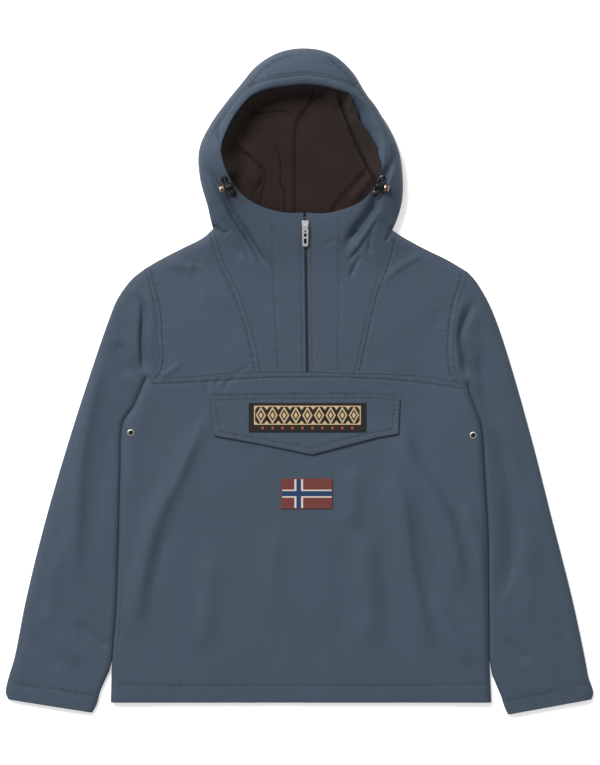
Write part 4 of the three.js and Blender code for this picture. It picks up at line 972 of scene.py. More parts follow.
def make_sleeve(name, side):
    downs = stops(side["outer"].length, 3.1, SEAM_STOPS, SEAM_STOPS[:9])
    us = stops(165, 2.8, ROLL_STOPS, ROLL_STOPS)
    grid = sleeve_spots(side, downs, us)
    sink, shade_mask = stitch_pull(grid, BODY_LINES)
    cuff = from_border(grid, ("top",))
    armhole = from_border(grid, ("bottom",))
    top = sleeve_plain(grid, side) - sink - 1.2 * rolled_in(cuff, 1.3) - SEAM_DROP * rolled_in(armhole)
    under = sleeve_underside(side, downs, grid, top)
    outer = np.concatenate([with_height(grid, top), under], axis=1)
    # Painted shade along stitching and at the armhole and cuff seams.
    upper_seam_shade = np.maximum(shade_mask, bell(np.minimum(armhole, cuff), 1))
    seam = np.concatenate([upper_seam_shade, np.zeros(under.shape[:2])], axis=1)
    return closed_piece(name, outer, sleeve_inside(outer, grid, top), sleeve_uv(outer), {"seam": seam},
                        around=True)


def sleeve_inside(outer, grid, top):
    """The inner wall: the outer ring drawn in towards the sleeve's flat middle."""
    middle = (grid[:, :1] + grid[:, -1:]) / 2
    away = outer[..., :2] - middle
    reach = np.linalg.norm(away, axis=-1, keepdims=True)
    plan = middle + away * np.clip(1 - WALL["sleeve"] / np.maximum(reach, 1), 0.05, 1)
    is_top = np.arange(outer.shape[1]) < top.shape[1]
    wall = WALL["sleeve"]
    under_top = np.maximum(outer[..., 2] - wall, wall + SLEEVE_HOLLOW)
    over_floor = np.minimum(outer[..., 2] + wall, wall)
    z = np.where(is_top, under_top, over_floor)
    return np.concatenate([plan, z[..., None]], axis=-1)


def sleeve_uv(outer):
    across, down = run_along(outer, 1), run_along(outer, 0)
    return np.stack([across, down.mean(axis=1, keepdims=True) + 0 * across], axis=-1)


# Hood

def side_seam_radius(angle):
    """A side panel starts at the band seam, and past the band's ends at the rim."""
    turn = wrap(angle)
    held = np.clip(turn, BAND["start"], BAND["end"])
    past = ease(1 - np.abs(turn - held) / 1.5)
    return hood_size("rim", turn) + (band_width(held) + SEAM_GAP / 2) * past


def hood_sections(angles, start):
    """Sections of the shell from the inner seam over the outline and in under it."""
    outline = hood_size("outline", angles)[:, None]
    edge = (outline[:, 0] - start)[:, None]
    steps = np.array([0, 0.4, 0.9, 1.6, 2.6, 3.4, 4.4, 5.6])
    falls = np.concatenate([steps[None] / edge, mix(5.6 / edge, 1, np.linspace(0, 1, 44)[1:] ** 0.8)], axis=1)
    radius = start[:, None] + edge * falls
    spots = polar(angles[:, None], radius)
    top = front_plain(spots)
    sink, shade_mask = stitch_pull(spots, HOOD_LINES)
    top = top - sink - SEAM_DROP * rolled_in(edge * falls)
    # Painted shade along the stitching and at the inner seam.
    seam = np.maximum(shade_mask, bell(edge * falls, 1))
    turn = np.linspace(0, 1, 15)[1:]
    fold = Path(UNDER_FOLD).at(turn)
    under_radius = outline - fold[None, :, 0]
    last = top[:, -1:]
    under_z = fold[None, :, 1] * (last / UNDER_FOLD[0][1])
    return np.hstack([radius, under_radius]), np.hstack([top, under_z]), np.hstack([seam, 0 * under_radius])


def offset_section(radius, height, thickness):
    dr = np.gradient(radius, axis=1)
    dz = np.gradient(height, axis=1)
    span = np.maximum(np.hypot(dr, dz), 1e-6)
    return radius + dz / span * thickness, height - dr / span * thickness


# Degrees between a section at the end of a hood panel and the seam itself
SECTION_GAP = 0.04


def section_angles(low, high, step=1.1):
    """Angles of a hood panel's sections, close together at its seams."""
    inner_seams = (*CROWN_SEAM.values(), BAND["start"], BAND["end"])
    seams = [a for a in inner_seams if low + 1 < a < high - 1]
    fine = np.array([0, 0.12, 0.35, 0.7, 1.2, 1.8])
    even = np.arange(low + fine[-1] + step, high - fine[-1] - step / 2, step)
    ends = (low + SECTION_GAP + fine, high - SECTION_GAP - fine)
    return np.unique(np.round(np.concatenate([ends[0], even, seams, ends[1]]), 3))


def hood_panel(name, angles, start, floor_ends, rounded):
    radius, height, seam = hood_sections(angles, start)
    gap = np.min([np.abs(angles - a) for a in rounded], axis=0)[:, None] * math.radians(1) * radius
    height = height - np.where(height > 12, SEAM_DROP * rolled_in(gap), 0)
    # Painted shade at the crown seams.
    seam = np.maximum(seam, bell(gap, 1))
    in_radius, in_height = offset_section(radius, height, WALL["hood"])
    in_radius = np.minimum(in_radius, hood_size("outline", angles)[:, None] - 1.5)
    outer = with_height(polar(angles[:, None], radius), height)
    inner = with_height(polar(angles[:, None], in_radius), np.maximum(in_height, WALL["hood"]))
    floor, floor_in = floor_ends(angles, radius[:, -1])
    outer = np.concatenate([outer, floor], axis=1)
    inner = np.concatenate([inner, floor_in], axis=1)
    seam = np.hstack([seam, np.zeros(floor.shape[:2])])
    arc = run_along(outer, 1)
    uv = np.stack([np.radians(angles)[:, None] * 130 + 0 * arc, arc], axis=-1)
    return closed_piece(name, outer, inner, uv, {"seam": seam})


def crown_corner(name):
    angle = CROWN_SEAM[name]
    return polar(angle, hood_size("outline", angle) - FOOT_RADIUS)


# Degrees from the neck over which a side panel's floor turns towards the neck's foot
NECK_TURN = 12


def side_floor(corner, foot, neck_angle):
    """Where a side panel lies on the surface, it runs in to a straight line, and at the neck to its foot."""
    neck_end = np.array(foot, float) + np.array([FLOOR_SEAM if foot[0] > 0 else -FLOOR_SEAM, 0])

    def floor_ends(angles, last):
        turn = np.radians(angles)
        dx, dy = np.cos(turn), np.sin(turn)
        along = np.array(foot, float) - corner
        start = corner - FACE
        end = (start[0] * along[1] - start[1] * along[0]) / (dx * along[1] - dy * along[0]) + FLOOR_SEAM
        end = np.minimum(end, last - 2)
        near_neck = ease(1 - np.abs(angles - neck_angle) / NECK_TURN)[:, None]
        ends = mix(polar(angles, end), neck_end, near_neck)
        spots = mix(polar(angles, last)[:, None], ends[:, None], np.linspace(0, 1, 8)[None, 1:, None])
        zero = np.zeros(spots.shape[:2])
        return with_height(spots, zero), with_height(spots, zero + WALL["hood"])
    return floor_ends


def crown_floor(angles, last):
    """Behind the head the crown runs down on the surface to the neck."""
    across = ((CROWN_SEAM["left"] - angles) / (CROWN_SEAM["left"] - CROWN_SEAM["right"]))[:, None]
    f = np.linspace(0, 1, 15)[None, :]
    start = polar(angles, hood_size("outline", angles) - FOOT_RADIUS)
    foot_x = mix(CROWN_FOOT["left"][0] + FLOOR_SEAM, CROWN_FOOT["right"][0] - FLOOR_SEAM, across)
    squeeze = mix(FLOOR_SEAM, -FLOOR_SEAM, across)
    x = mix(start[:, :1] + squeeze, foot_x, f)
    y = mix(start[:, 1:], NECK_Y, f)
    spots = np.stack([x, y], axis=-1)
    zero = np.zeros(x.shape)
    return with_height(spots, zero), with_height(spots, zero + WALL["hood"])


def make_hood_side(name, side):
    is_left = side["sign"] < 0
    seam_name = "left" if is_left else "right"
    low, high = sorted((CROWN_SEAM[seam_name], side["neck_angle"]))
    angles = section_angles(low, high)
    floor_ends = side_floor(crown_corner(seam_name), CROWN_FOOT[seam_name], side["neck_angle"])
    return hood_panel(name, angles, side_seam_radius(angles), floor_ends, [CROWN_SEAM[seam_name]])


def make_hood_crown():
    angles = section_angles(CROWN_SEAM["right"], CROWN_SEAM["left"])
    start = hood_size("rim", angles) + band_width(angles) + SEAM_GAP / 2
    return hood_panel("hood_crown", angles, start, crown_floor, list(CROWN_SEAM.values()))


# Where the band's rows stand: from the lip's edge in to the rim, and from the rim out to the seam
BAND_ROWS_IN = (1, 0.97, 0.9, 0.8, 0.68, 0.55, 0.42, 0.3, 0.2, 0.12, 0.05)
BAND_ROWS_OUT = (0, 0.06, 0.12, 0.2, 0.3, 0.4, 0.5, 0.6, 0.7, 0.8, 0.88, 0.94, 0.975, 1)
# Gathers of the drawcord: their height, and how often they and their sway come round
GATHER = {"height": 0.45, "times": 34, "sway": 3, "sway_times": 7}


def make_hood_band():
    """The band: facing or lip inside, rolled rim, and the drawcord tunnel out to the band seam."""
    angles = np.arange(BAND["start"] + 0.05, BAND["end"], 0.6)
    rim_radius = hood_size("rim", angles)[:, None]
    width = (band_width(angles) - SEAM_GAP / 2)[:, None]
    lip = lip_width(angles)[:, None]
    drop = table(LIP_DROP, lip)
    top = front_plain(polar(angles, rim_radius[:, 0]))[:, None]
    seam_top = front_plain(polar(angles, (rim_radius + width)[:, 0]))[:, None]
    f_in = np.array(BAND_ROWS_IN)[None]
    f_out = np.array(BAND_ROWS_OUT)[None]
    turn = np.radians(angles)
    sway = GATHER["sway"] * np.sin(turn * GATHER["sway_times"])
    gather = GATHER["height"] * np.sin(turn * GATHER["times"] + sway)[:, None]
    inside_z = top - drop * f_in ** 1.35 + gather * (1 - f_in) * f_in * 2 * (lip > 6)
    curve = np.sin(math.pi * f_out)
    outside_z = mix(top, seam_top, f_out) + width * 0.13 * curve + 0.35 * gather * curve
    outside_z -= 0.7 * bell(width * (1 - f_out), 0.8)
    radius = np.hstack([rim_radius - lip * f_in, rim_radius + width * f_out])
    height = np.hstack([inside_z, outside_z])
    spots = polar(angles[:, None], radius)
    # Painted shade at the lip's edge and at the band seam.
    seam = np.hstack([bell(lip * (1 - f_in), 1), bell(width * (1 - f_out), 1)])
    uv = np.stack([np.radians(angles)[:, None] * 120 + 0 * radius, radius], axis=-1)
    outer = with_height(spots, height)
    return closed_piece("hood_band", outer, with_height(spots, height - WALL["band"]), uv, {"seam": seam})


# Lining

def lining_rim(start, end):
    angles = np.linspace(start, end, 80)
    return Path(polar(angles, lining_edge(angles)[0]), False)


def edge_point(angle):
    return polar(angle, float(lining_edge(angle)[0]))


def lining_seam_path(points, top_angle, foot_angle):
    return Path([edge_point(foot_angle), *points[1:-1][::-1], edge_point(top_angle)])


LINING_SEAMS = {
    "left": lining_seam_path(LINING_SEAM["left"], 80, 262),
    "right": lining_seam_path(LINING_SEAM["right"], 60, -27),
}
LINING_PANELS = {
    "hood_lining_left": lambda: (lining_rim(222, 262), lining_rim(140, 80), lining_rim(222, 140),
                                 LINING_SEAMS["left"]),
    "hood_lining_centre": lambda: (lining_rim(262, 333), lining_rim(80, 60), LINING_SEAMS["left"],
                                   LINING_SEAMS["right"]),
    "hood_lining_right": lambda: (lining_rim(-27, -19), lining_rim(60, 47), LINING_SEAMS["right"],
                                  lining_rim(-19, 47)),
}
LINING_STITCH = [Line(LINING_SEAMS["left"].beside(2.6), 0.35), Line(LINING_SEAMS["right"].beside(-2.6), 0.35)]


def make_lining(name):
    outline = LINING_PANELS[name]()
    us = stops(max(outline[0].length, outline[1].length), 1.5, SEAM_STOPS[:8], SEAM_STOPS[:8])
    vs = stops(outline[2].length, 1.8, SEAM_STOPS[:8], SEAM_STOPS[:8])
    grid = coons(*outline, us, vs)
    borders = {"hood_lining_left": ("east",), "hood_lining_right": ("west",)}.get(name, ("east", "west"))
    return panel(name, grid, lining_plain, WALL["lining"], LINING_STITCH, borders, shade=crease_shade)


# Pocket flap and badges lie on the front: each is made from the front's own height

def flap_plain(spots):
    away = Path(FLAP["bottom"], False).near(spots)[0]
    lift = 0.9 * bell(away, 22) * (1 + 0.6 * rough(spots, (30, 30), 9))
    return front_plain(spots) + LAYER_GAP + WALL["flap"] + lift


FLAP_LINES = [
    Line(Path([(-136, -28.6), (9, -26.4), (146, -28), (154, -31)]), 0.6),
    Line(Path([(-134, -27), (-128, -56), (-124, -79), (-73, -88), (17, -104), (120, -79), (146, -75),
               (152, -33)], False), 0.6),
]


def make_flap():
    top, bottom = Path(FLAP["top"], False), Path(FLAP["bottom"], False)
    west = Path([FLAP["bottom"][0], FLAP["top"][0]], False)
    east = Path([FLAP["bottom"][-1], FLAP["top"][-1]], False)
    us = stops(300, 1.9, ROLL_STOPS[:6], ROLL_STOPS[:6])
    vs = stops(75, 1.6, ROLL_STOPS[:6], ROLL_STOPS[:6])
    grid = coons(bottom, top, west, east, us, vs)
    return panel("pocket_flap", grid, flap_plain, WALL["flap"], FLAP_LINES,
                 edges=("bottom", "top", "west", "east"))


def make_badge(name, box, under, step=1.4):
    x0, x1, y0, y1 = (box[key] for key in ("x0", "x1", "y0", "y1"))
    bottom, top = (Path([(x0, y), (x1, y)], False) for y in (y0, y1))
    west, east = (Path([(x, y0), (x, y1)], False) for x in (x0, x1))
    ends = ROLL_STOPS[:5]
    us = stops(x1 - x0, step, ends, ends)
    vs = stops(y1 - y0, step, ends, ends)
    grid = coons(bottom, top, west, east, us, vs)
    distance = from_border(grid, ("bottom", "top", "west", "east"))
    top = under(grid) + LAYER_GAP + WALL["badge"]
    top = top + 0.35 * bell(distance - 1.2, 0.9)
    top, thick = thin_edges(top, np.full(top.shape, WALL["badge"]), distance, 0.8)
    place = grid - np.array([x0, y0])
    # Painted shade along the border, as a seam attribute that the badge finishes do not read.
    shade_mask = {"seam": bell(distance, 1)}
    return closed_piece(name, with_height(grid, top), with_height(grid, top - thick), place, shade_mask)


# Zip, stitches and teeth: small things repeated along a line

def zip_top(spots):
    return front_plain(spots) - ZIP["sink"]


def make_zip_tape():
    v = np.linspace(ZIP["from"], ZIP["to"], 150)
    u = np.array([0, 0.04, 0.12, 0.24, 0.4, 0.6, 0.76, 0.88, 0.96, 1])
    left, right = ZIP_EDGE["left"].at(v)[:, None], ZIP_EDGE["right"].at(v)[:, None]
    grid = mix(left, right, 0.06 + 0.88 * u[None, :, None])
    top = zip_top(grid) - 0.25 * np.sin(math.pi * u)[None]
    shade_mask = {"seam": np.zeros(top.shape)}
    return closed_piece("zip_tape", with_height(grid, top), with_height(grid, top - WALL["tape"]), grid, shade_mask)


def surface_frame(path, places, top, sink=0.0):
    """Spots along a line with the direction that the line takes over the cloth there."""
    step = 0.6 / path.length
    here = path.at(places)
    ahead, behind = path.at(places + step), path.at(places - step)
    z = top(here) - sink
    slope = (top(ahead) - top(behind)) / np.maximum(np.linalg.norm(ahead - behind, axis=-1), 1e-6)
    flat = (ahead - behind) / np.maximum(np.linalg.norm(ahead - behind, axis=-1, keepdims=True), 1e-6)
    along = np.column_stack([flat, slope])
    along /= np.linalg.norm(along, axis=1, keepdims=True)
    across = np.column_stack([-flat[:, 1], flat[:, 0], np.zeros(len(flat))])
    up = np.cross(along, across)
    return np.column_stack([here, z]), along, across, up


# One stitch: rings of six corners, each by its place along the seam and its radius
STITCH_RINGS = ((-1.25, 0.12), (-0.85, 0.3), (0, 0.36), (0.85, 0.3), (1.25, 0.12))
STITCH_SIDES = 6


def stitch_shape():
    turn = np.arange(STITCH_SIDES) * 2 * math.pi / STITCH_SIDES
    rings = [np.column_stack([np.full(STITCH_SIDES, x), r * np.cos(turn), 0.8 * r * np.sin(turn)])
             for x, r in STITCH_RINGS]
    index = np.arange(len(STITCH_RINGS) * STITCH_SIDES).reshape(-1, STITCH_SIDES)
    faces = quads(np.hstack([index, index[:, :1]]))
    faces += [index[0].tolist()[::-1], index[-1].tolist()]
    return np.vstack(rings), faces


def repeated(shape, faces, frames):
    """Copies of a small shape, each placed by a spot and three directions, as one mesh."""
    spots, along, across, up = frames
    points = (spots[:, None] + shape[None, :, :1] * along[:, None] + shape[None, :, 1:2] * across[:, None]
              + shape[None, :, 2:] * up[:, None])
    offsets = np.arange(len(spots)) * len(shape)
    all_faces = [[i + int(o) for i in face] for o in offsets for face in faces]
    return points.reshape(-1, 3), all_faces


def stitched(lines, top, pitch=3.3, lift=0.12):
    shape, faces = stitch_shape()
    parts = []
    for line in lines:
        count = int(line.path.length / pitch)
        places = (np.arange(count) + 0.5) / count

        def sewn(spots, own=line):
            return top(spots) - own.sink * 0.92

        parts.append(repeated(shape, faces, surface_frame(line.path, places, sewn, -lift)))
    return parts


def joined(name, parts):
    points, faces, total = [], [], 0
    for part_points, part_faces in parts:
        points.append(part_points)
        faces += [[i + total for i in face] for face in part_faces]
        total += len(part_points)
    return turned_out(make_object(name, np.vstack(points) * MM, faces))


TOOTH = {"reach": 1.0, "half": 0.42, "rise": 0.45, "pitch": 1.5, "off_middle": 0.75, "sink": 0.15}


def make_teeth():
    """Two rows of nylon teeth that mesh along the middle of the zip."""
    x, y, z = TOOTH["reach"], TOOTH["half"], TOOTH["rise"]
    ring = [(-x, -y), (x, -y * 0.6), (x * 1.15, 0), (x, y * 0.6), (-x, y)]
    shape = np.array([(a, b, h) for h, f in ((0, 1), (z, 0.8)) for a, b in ((p * f, q * f) for p, q in ring)])
    count = len(ring)
    faces = quads(np.array([[*range(count), 0], [*range(count, 2 * count), count]]))
    faces += [list(range(count))[::-1], list(range(count, 2 * count))]
    parts = []
    for sign, shift in ((1, 0.0), (-1, 0.5)):
        line = ZIP_MIDDLE.beside(sign * TOOTH["off_middle"]).part(0.02, 0.93)
        total = int(line.length / TOOTH["pitch"])
        places = (np.arange(total) + shift) / total
        spots, along, across, up = surface_frame(line, places, zip_top, TOOTH["sink"])
        parts.append(repeated(shape, faces, (spots, -sign * across, along * sign, up)))
    return joined("zip_teeth", parts)


# Materials

class Socket:
    """A value in a material. Python sums on it add Math nodes."""

    def __init__(self, finish, link):
        self.finish = finish
        self.link = link

    def sum(self, operation, *others):
        return self.finish.node("ShaderNodeMath", {"operation": operation}, dict(enumerate((self, *others))))

    def __add__(self, other):
        return self.sum("ADD", other)

    def __sub__(self, other):
        return self.sum("SUBTRACT", other)

    def __rsub__(self, other):
        return self.finish.node("ShaderNodeMath", {"operation": "SUBTRACT"}, {0: other, 1: self})

    def __mul__(self, other):
        return self.sum("MULTIPLY", other)

    def __lt__(self, other):
        return self.sum("LESS_THAN", other)

    def __gt__(self, other):
        return self.sum("GREATER_THAN", other)

    __radd__ = __add__
    __rmul__ = __mul__

    def sin(self):
        return self.sum("SINE")

    def abs(self):
        return self.sum("ABSOLUTE")

    def fract(self):
        return self.sum("FRACT")

    def between(self, low, high):
        return (self > low) * (self < high)

    def clamped(self):
        return self.finish.node("ShaderNodeClamp", {}, {0: self})


class Finish:
    """One material, built node by node on a Principled shader."""

    def __init__(self, name, **fixed):
        self.material = bpy.data.materials.new(name)
        self.material.use_nodes = True
        self.tree = self.material.node_tree
        self.shader = self.tree.nodes["Principled BSDF"]
        for key, value in fixed.items():
            self.shader.inputs[self.label(key)].default_value = value

    @staticmethod
    def label(key):
        return key.replace("_", " ").title().replace("Ior", "IOR")

    def node(self, kind, settings, inputs, output=0):
        node = self.tree.nodes.new(kind)
        for key, value in settings.items():
            setattr(node, key, value)
        for key, value in inputs.items():
            self.feed(node.inputs[key], value)
        return Socket(self, node.outputs[output])

    def feed(self, socket, value):
        if isinstance(value, Socket):
            self.tree.links.new(value.link, socket)
        else:
            socket.default_value = value

    def coordinates(self, kind="Object"):
        return self.node("ShaderNodeTexCoord", {}, {}, kind)

    def axes(self, vector):
        node = self.tree.nodes.new("ShaderNodeSeparateXYZ")
        self.tree.links.new(vector.link, node.inputs[0])
        return [Socket(self, out) for out in node.outputs]

    def noise(self, vector, scale, detail=2.0, stretch=(1, 1, 1)):
        if stretch != (1, 1, 1):
            vector = self.node("ShaderNodeVectorMath", {"operation": "MULTIPLY"}, {0: vector, 1: stretch})
        return self.node("ShaderNodeTexNoise", {}, {"Vector": vector, "Scale": scale, "Detail": detail})

    def attribute(self, name):
        return self.node("ShaderNodeAttribute", {"attribute_name": name}, {}, "Fac")

    def blended(self, factor, low, high, how="MIX"):
        """A colour between two others, or their product."""
        node = self.tree.nodes.new("ShaderNodeMix")
        node.data_type = "RGBA"
        node.blend_type = how
        self.feed(node.inputs["Factor"], factor)
        for label, value in (("A", low), ("B", high)):
            socket = next(s for s in node.inputs if s.name == label and s.type == "RGBA")
            self.feed(socket, value)
        return Socket(self, next(s for s in node.outputs if s.type == "RGBA"))

    def bump(self, height, distance, strength=1.0, normal=None):
        inputs = {"Height": height, "Distance": distance, "Strength": strength}
        if normal is not None:
            inputs["Normal"] = normal
        return self.node("ShaderNodeBump", {}, inputs)

    def finished(self, **links):
        for key, value in links.items():
            self.feed(self.shader.inputs[self.label(key)], value)
        return self.material


def tinted(colour, factor):
    return (*(min(1.0, c * factor) for c in colour[:3]), 1.0)


def woven(finish, uv, pitch):
    """Height of a plain weave with this many metres from thread to thread."""
    u, v, _ = finish.axes(uv)
    wave = 2 * math.pi / pitch
    return (u * wave).sin() * (v * wave).sin()


def shell_finish(cloth):
    f = Finish("slate_nylon", sheen_weight=0.04, sheen_roughness=0.4, specular_ior_level=0.26)
    place = f.coordinates()
    patches = f.noise(place, 6.5, 3)
    slubs = f.noise(place, 420, 1, (1, 0.05, 1)) + f.noise(place, 480, 1, (0.06, 1, 1))
    seam = f.attribute("seam")
    # The seam attribute paints shade into the colour along seams, stitching and turned edges; patches and
    # slubs are random tone.
    tone = (patches - 0.5) * 0.3 + (slubs - 1) * 0.32 - seam * cloth.seam_shade + 0.5
    colour = f.blended(tone.clamped(), tinted(cloth.shell_colour, 0.74), tinted(cloth.shell_colour, 1.2))
    weave = f.bump(woven(f, f.coordinates("UV"), 0.00075), 0.00006)
    crumple = f.noise(place, 46, 4, (1, 0.6, 1))
    creased = f.bump(crumple, cloth.crumple, 1.0, weave)
    return f.finished(base_color=colour, roughness=(patches - 0.5) * 0.16 + 0.6, normal=creased)


def lining_finish(cloth):
    f = Finish("brushed_lining", sheen_weight=0.05, sheen_roughness=0.6, specular_ior_level=0.08)
    place = f.coordinates()
    nap = f.noise(place, 380, 3, (1, 0.4, 1))
    patches = f.noise(place, 16, 3)
    seam = f.attribute("seam")
    # The seam attribute paints shade into the colour along seams, turned edges and the sharp creases.
    tone = (nap - 0.5) * 0.7 + (patches - 0.5) * 0.5 - seam * 0.9 + 0.5
    colour = f.blended(tone.clamped(), tinted(cloth.lining_colour, 0.4), tinted(cloth.lining_colour, 1.45))
    rib = f.bump(woven(f, f.coordinates("UV"), 0.0011), 0.00008)
    return f.finished(base_color=colour, roughness=0.95, normal=f.bump(nap, 0.0006, 1.0, rib))


def thread_finish(name, colour, roughness=0.6):
    f = Finish(name, roughness=roughness)
    twist = f.noise(f.coordinates(), 1400, 1)
    return f.finished(base_color=f.blended(twist, tinted(colour, 0.7), tinted(colour, 1.25)),
                      normal=f.bump(twist, 0.0001))


def embroidered(f, uv, colour, across=False):
    """Satin thread lies in fine ridges."""
    u, v, _ = f.axes(uv)
    ridge = ((u if across else v) * (2 * math.pi / 0.0009)).sin()
    fuzz = f.noise(uv, 1500, 2)
    worn = f.blended((fuzz - 0.5) * 0.8 + 0.5, (0.75, 0.75, 0.75, 1), (1, 1, 1, 1))
    shaded = f.blended(1.0, colour, worn, "MULTIPLY")
    height = ridge * 0.5 + fuzz * 0.6
    return f.finished(base_color=shaded, normal=f.bump(height, 0.0002))


# Designs of the badges, in millimetres from the lower left corner
BAND_OF_LOZENGES = {"x": (10.0, 175.0), "y": (13.2, 40.0), "frame": 1.6, "count": 9}
MARKS = {"from": 14.0, "pitch": 15.7, "y": 6.6, "reach": 2.5}
CROSS = {"x": 27.8, "y": 23.9, "white": (6.9, 6.3), "blue": (3.7, 4.1)}


def label_finish(badges):
    """A woven band of lozenges in two tones, framed, over a row of small bright stitches."""
    f = Finish("woven_label", roughness=0.8, sheen_weight=0.1, specular_ior_level=0.25)
    uv = f.coordinates("UV")
    u, v, _ = f.axes(uv)
    x, y = u * 1000, v * 1000
    (left, right), (low, high) = BAND_OF_LOZENGES["x"], BAND_OF_LOZENGES["y"]
    frame_width = BAND_OF_LOZENGES["frame"]
    in_frame = x.between(left - frame_width, right + frame_width)
    in_frame = in_frame * y.between(low - frame_width, high + frame_width)
    in_panel = x.between(left, right) * y.between(low, high)
    period = (right - left) / BAND_OF_LOZENGES["count"]
    across = (((x - left) * (1 / period)).fract() * 2 - 1).abs()
    down = ((y - (low + high) / 2) * (2 / (high - low))).abs()
    reach = across + down * 0.86
    lozenge = (reach < 0.88) * (reach > 0.6)
    heart = reach < 0.34
    corner = ((1 - across) + (1 - down) * 1.1) < 0.42
    light = (lozenge + heart + corner) * in_panel + (in_frame - in_panel)
    tan = f.blended(light.clamped(), tinted(badges.label_ground, 1), tinted(badges.label_light, 1))
    mark_x = ((((x - MARKS["from"]) * (1 / MARKS["pitch"])).fract() * 2 - 1) * (MARKS["pitch"] / 2)).abs()
    mark_y = (y - MARKS["y"]).abs()
    marks = ((mark_x + mark_y) < MARKS["reach"]) * x.between(8, 177)
    colour = f.blended(marks, tan, tinted(badges.label_mark, 1))
    return embroidered(f, uv, colour)


def flag_finish(badges):
    """A Nordic cross: blue with a white edge on red, its upright towards the hoist."""
    f = Finish("flag_badge", roughness=0.78, sheen_weight=0.1, specular_ior_level=0.25)
    uv = f.coordinates("UV")
    u, v, _ = f.axes(uv)
    x, y = u * 1000, v * 1000
    inside = x.between(1.7, 79.6) * y.between(1.3, 46.6)
    upright, arm = (x - CROSS["x"]).abs(), (y - CROSS["y"]).abs()
    white, blue = (((upright < across) + (arm < down)).clamped() * inside
                   for across, down in (CROSS["white"], CROSS["blue"]))
    colour = f.blended(white, tinted(badges.flag_red, 1), tinted(badges.flag_white, 1))
    colour = f.blended(blue, colour, tinted(badges.flag_blue, 1))
    return embroidered(f, uv, colour, True)


def metal_finish(name, colour, roughness):
    f = Finish(name, metallic=1.0)
    place = f.coordinates()
    scuffs = f.noise(place, 700, 4, (1, 0.2, 1))
    colour = f.blended(scuffs, tinted(colour, 0.85), tinted(colour, 1.1))
    return f.finished(base_color=colour, roughness=(scuffs - 0.5) * 0.25 + roughness,
                      normal=f.bump(scuffs, 0.00004))


def plastic_finish(name, colour, roughness):
    f = Finish(name, specular_ior_level=0.22)
    grain = f.noise(f.coordinates(), 1600, 2)
    return f.finished(base_color=f.blended(grain, tinted(colour, 0.8), tinted(colour, 1.3)),
                      roughness=(grain - 0.5) * 0.2 + roughness, normal=f.bump(grain, 0.00005))


def braid_finish(name, colour):
    f = Finish(name, roughness=0.7, sheen_weight=0.1)
    x, y, z = f.axes(f.coordinates())
    wave = 2 * math.pi / 0.0011
    braid = ((x + y) * wave).sin() * ((x - y + z) * wave).sin()
    return f.finished(base_color=f.blended(braid * 0.5 + 0.5, tinted(colour, 0.6), tinted(colour, 1.6)),
                      normal=f.bump(braid, 0.0002))


def finish_once(name, make, *args):
    """The material of this name, made the first time that it is asked for."""
    found = bpy.data.materials.get(name)
    return found or make(*args)


# What a user would change

def colour_of(name, what, default):
    return FloatVectorProperty(name=name, description=what, subtype="COLOR", size=3, min=0, max=1,
                               default=default)


class AnorakCloth(bpy.types.PropertyGroup):
    shell_colour: colour_of("Shell", "Colour of the outer cloth", (0.0385, 0.0575, 0.0845))
    lining_colour: colour_of("Lining", "Colour of the hood's brushed lining", (0.0205, 0.0128, 0.0108))
    thread_colour: colour_of("Thread", "Colour of the topstitching", (0.03, 0.042, 0.062))
    # Strength of the painted shade that the seam attribute lays along seams, stitching and turned edges.
    seam_shade: FloatProperty(
        name="Seam shade", description="How much darker the cloth is along its seams", default=0.45,
        min=0, max=1)
    crumple: FloatProperty(
        name="Crumple", description="Depth of the finest creases", default=0.0005, min=0, max=0.005,
        subtype="DISTANCE", unit="LENGTH")


class AnorakBadges(bpy.types.PropertyGroup):
    label_ground: colour_of("Label ground", "Ground of the chest label", (0.012, 0.01, 0.009))
    label_light: colour_of("Label light", "Light yarn of the chest label", (0.55, 0.4, 0.22))
    label_mark: colour_of("Label marks", "Bright marks under the label's band", (0.46, 0.075, 0.03))
    flag_red: colour_of("Flag red", "Field of the flag", (0.15, 0.035, 0.029))
    flag_white: colour_of("Flag white", "Edges of the flag's cross", (0.62, 0.56, 0.5))
    flag_blue: colour_of("Flag blue", "Cross of the flag", (0.012, 0.042, 0.115))


class AnorakFittings(bpy.types.PropertyGroup):
    silver: colour_of("Zip metal", "Slider and pull tab", (0.8, 0.8, 0.8))
    # The button's brass is far darker than bright brass: partly its own antique tone, partly painted dark
    # reflection standing in for dim surroundings.
    brass: colour_of("Button metal", "Buttons of the cord locks", (0.25, 0.17, 0.135))
    nickel: colour_of("Side eyelets", "Bright eyelets at the sides", (0.52, 0.52, 0.5))
    gunmetal: colour_of("Cord eyelets", "Dark eyelets of the drawcord", (0.07, 0.065, 0.06))
    black: colour_of("Plastic", "Cord lock barrels", (0.004, 0.004, 0.005))


class AnorakStage(bpy.types.PropertyGroup):
    camera_height: FloatProperty(
        name="Camera height", description="How far the camera stands above the floor", default=6, min=1,
        subtype="DISTANCE", unit="LENGTH")
    view_height: FloatProperty(
        name="View height", description="Height of floor that the picture takes in", default=1.2087, min=0.1,
        subtype="DISTANCE", unit="LENGTH")
    key: FloatProperty(
        name="Key light", description="Strength of the large soft light", default=780, min=0, unit="POWER")
    sky: FloatProperty(
        name="Sky", description="Strength of the even light from all round", default=0.5, min=0)


def shell_material():
    return finish_once("slate_nylon", shell_finish, bpy.context.scene.anorak_cloth)


def lay_shell(name, obj):
    return laid_cloth(name, obj, shell_material())


def add_stitching(name, parts):
    obj = joined(name, parts)
    colour = bpy.context.scene.anorak_cloth.thread_colour
    obj.data.materials.append(finish_once("slate_thread", thread_finish, "slate_thread", colour))
    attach(obj, BODY)


def dress_node(name, material):
    """Give a node of the part a finer finish."""
    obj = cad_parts[name]
    obj.data.materials.clear()
    obj.data.materials.append(material)


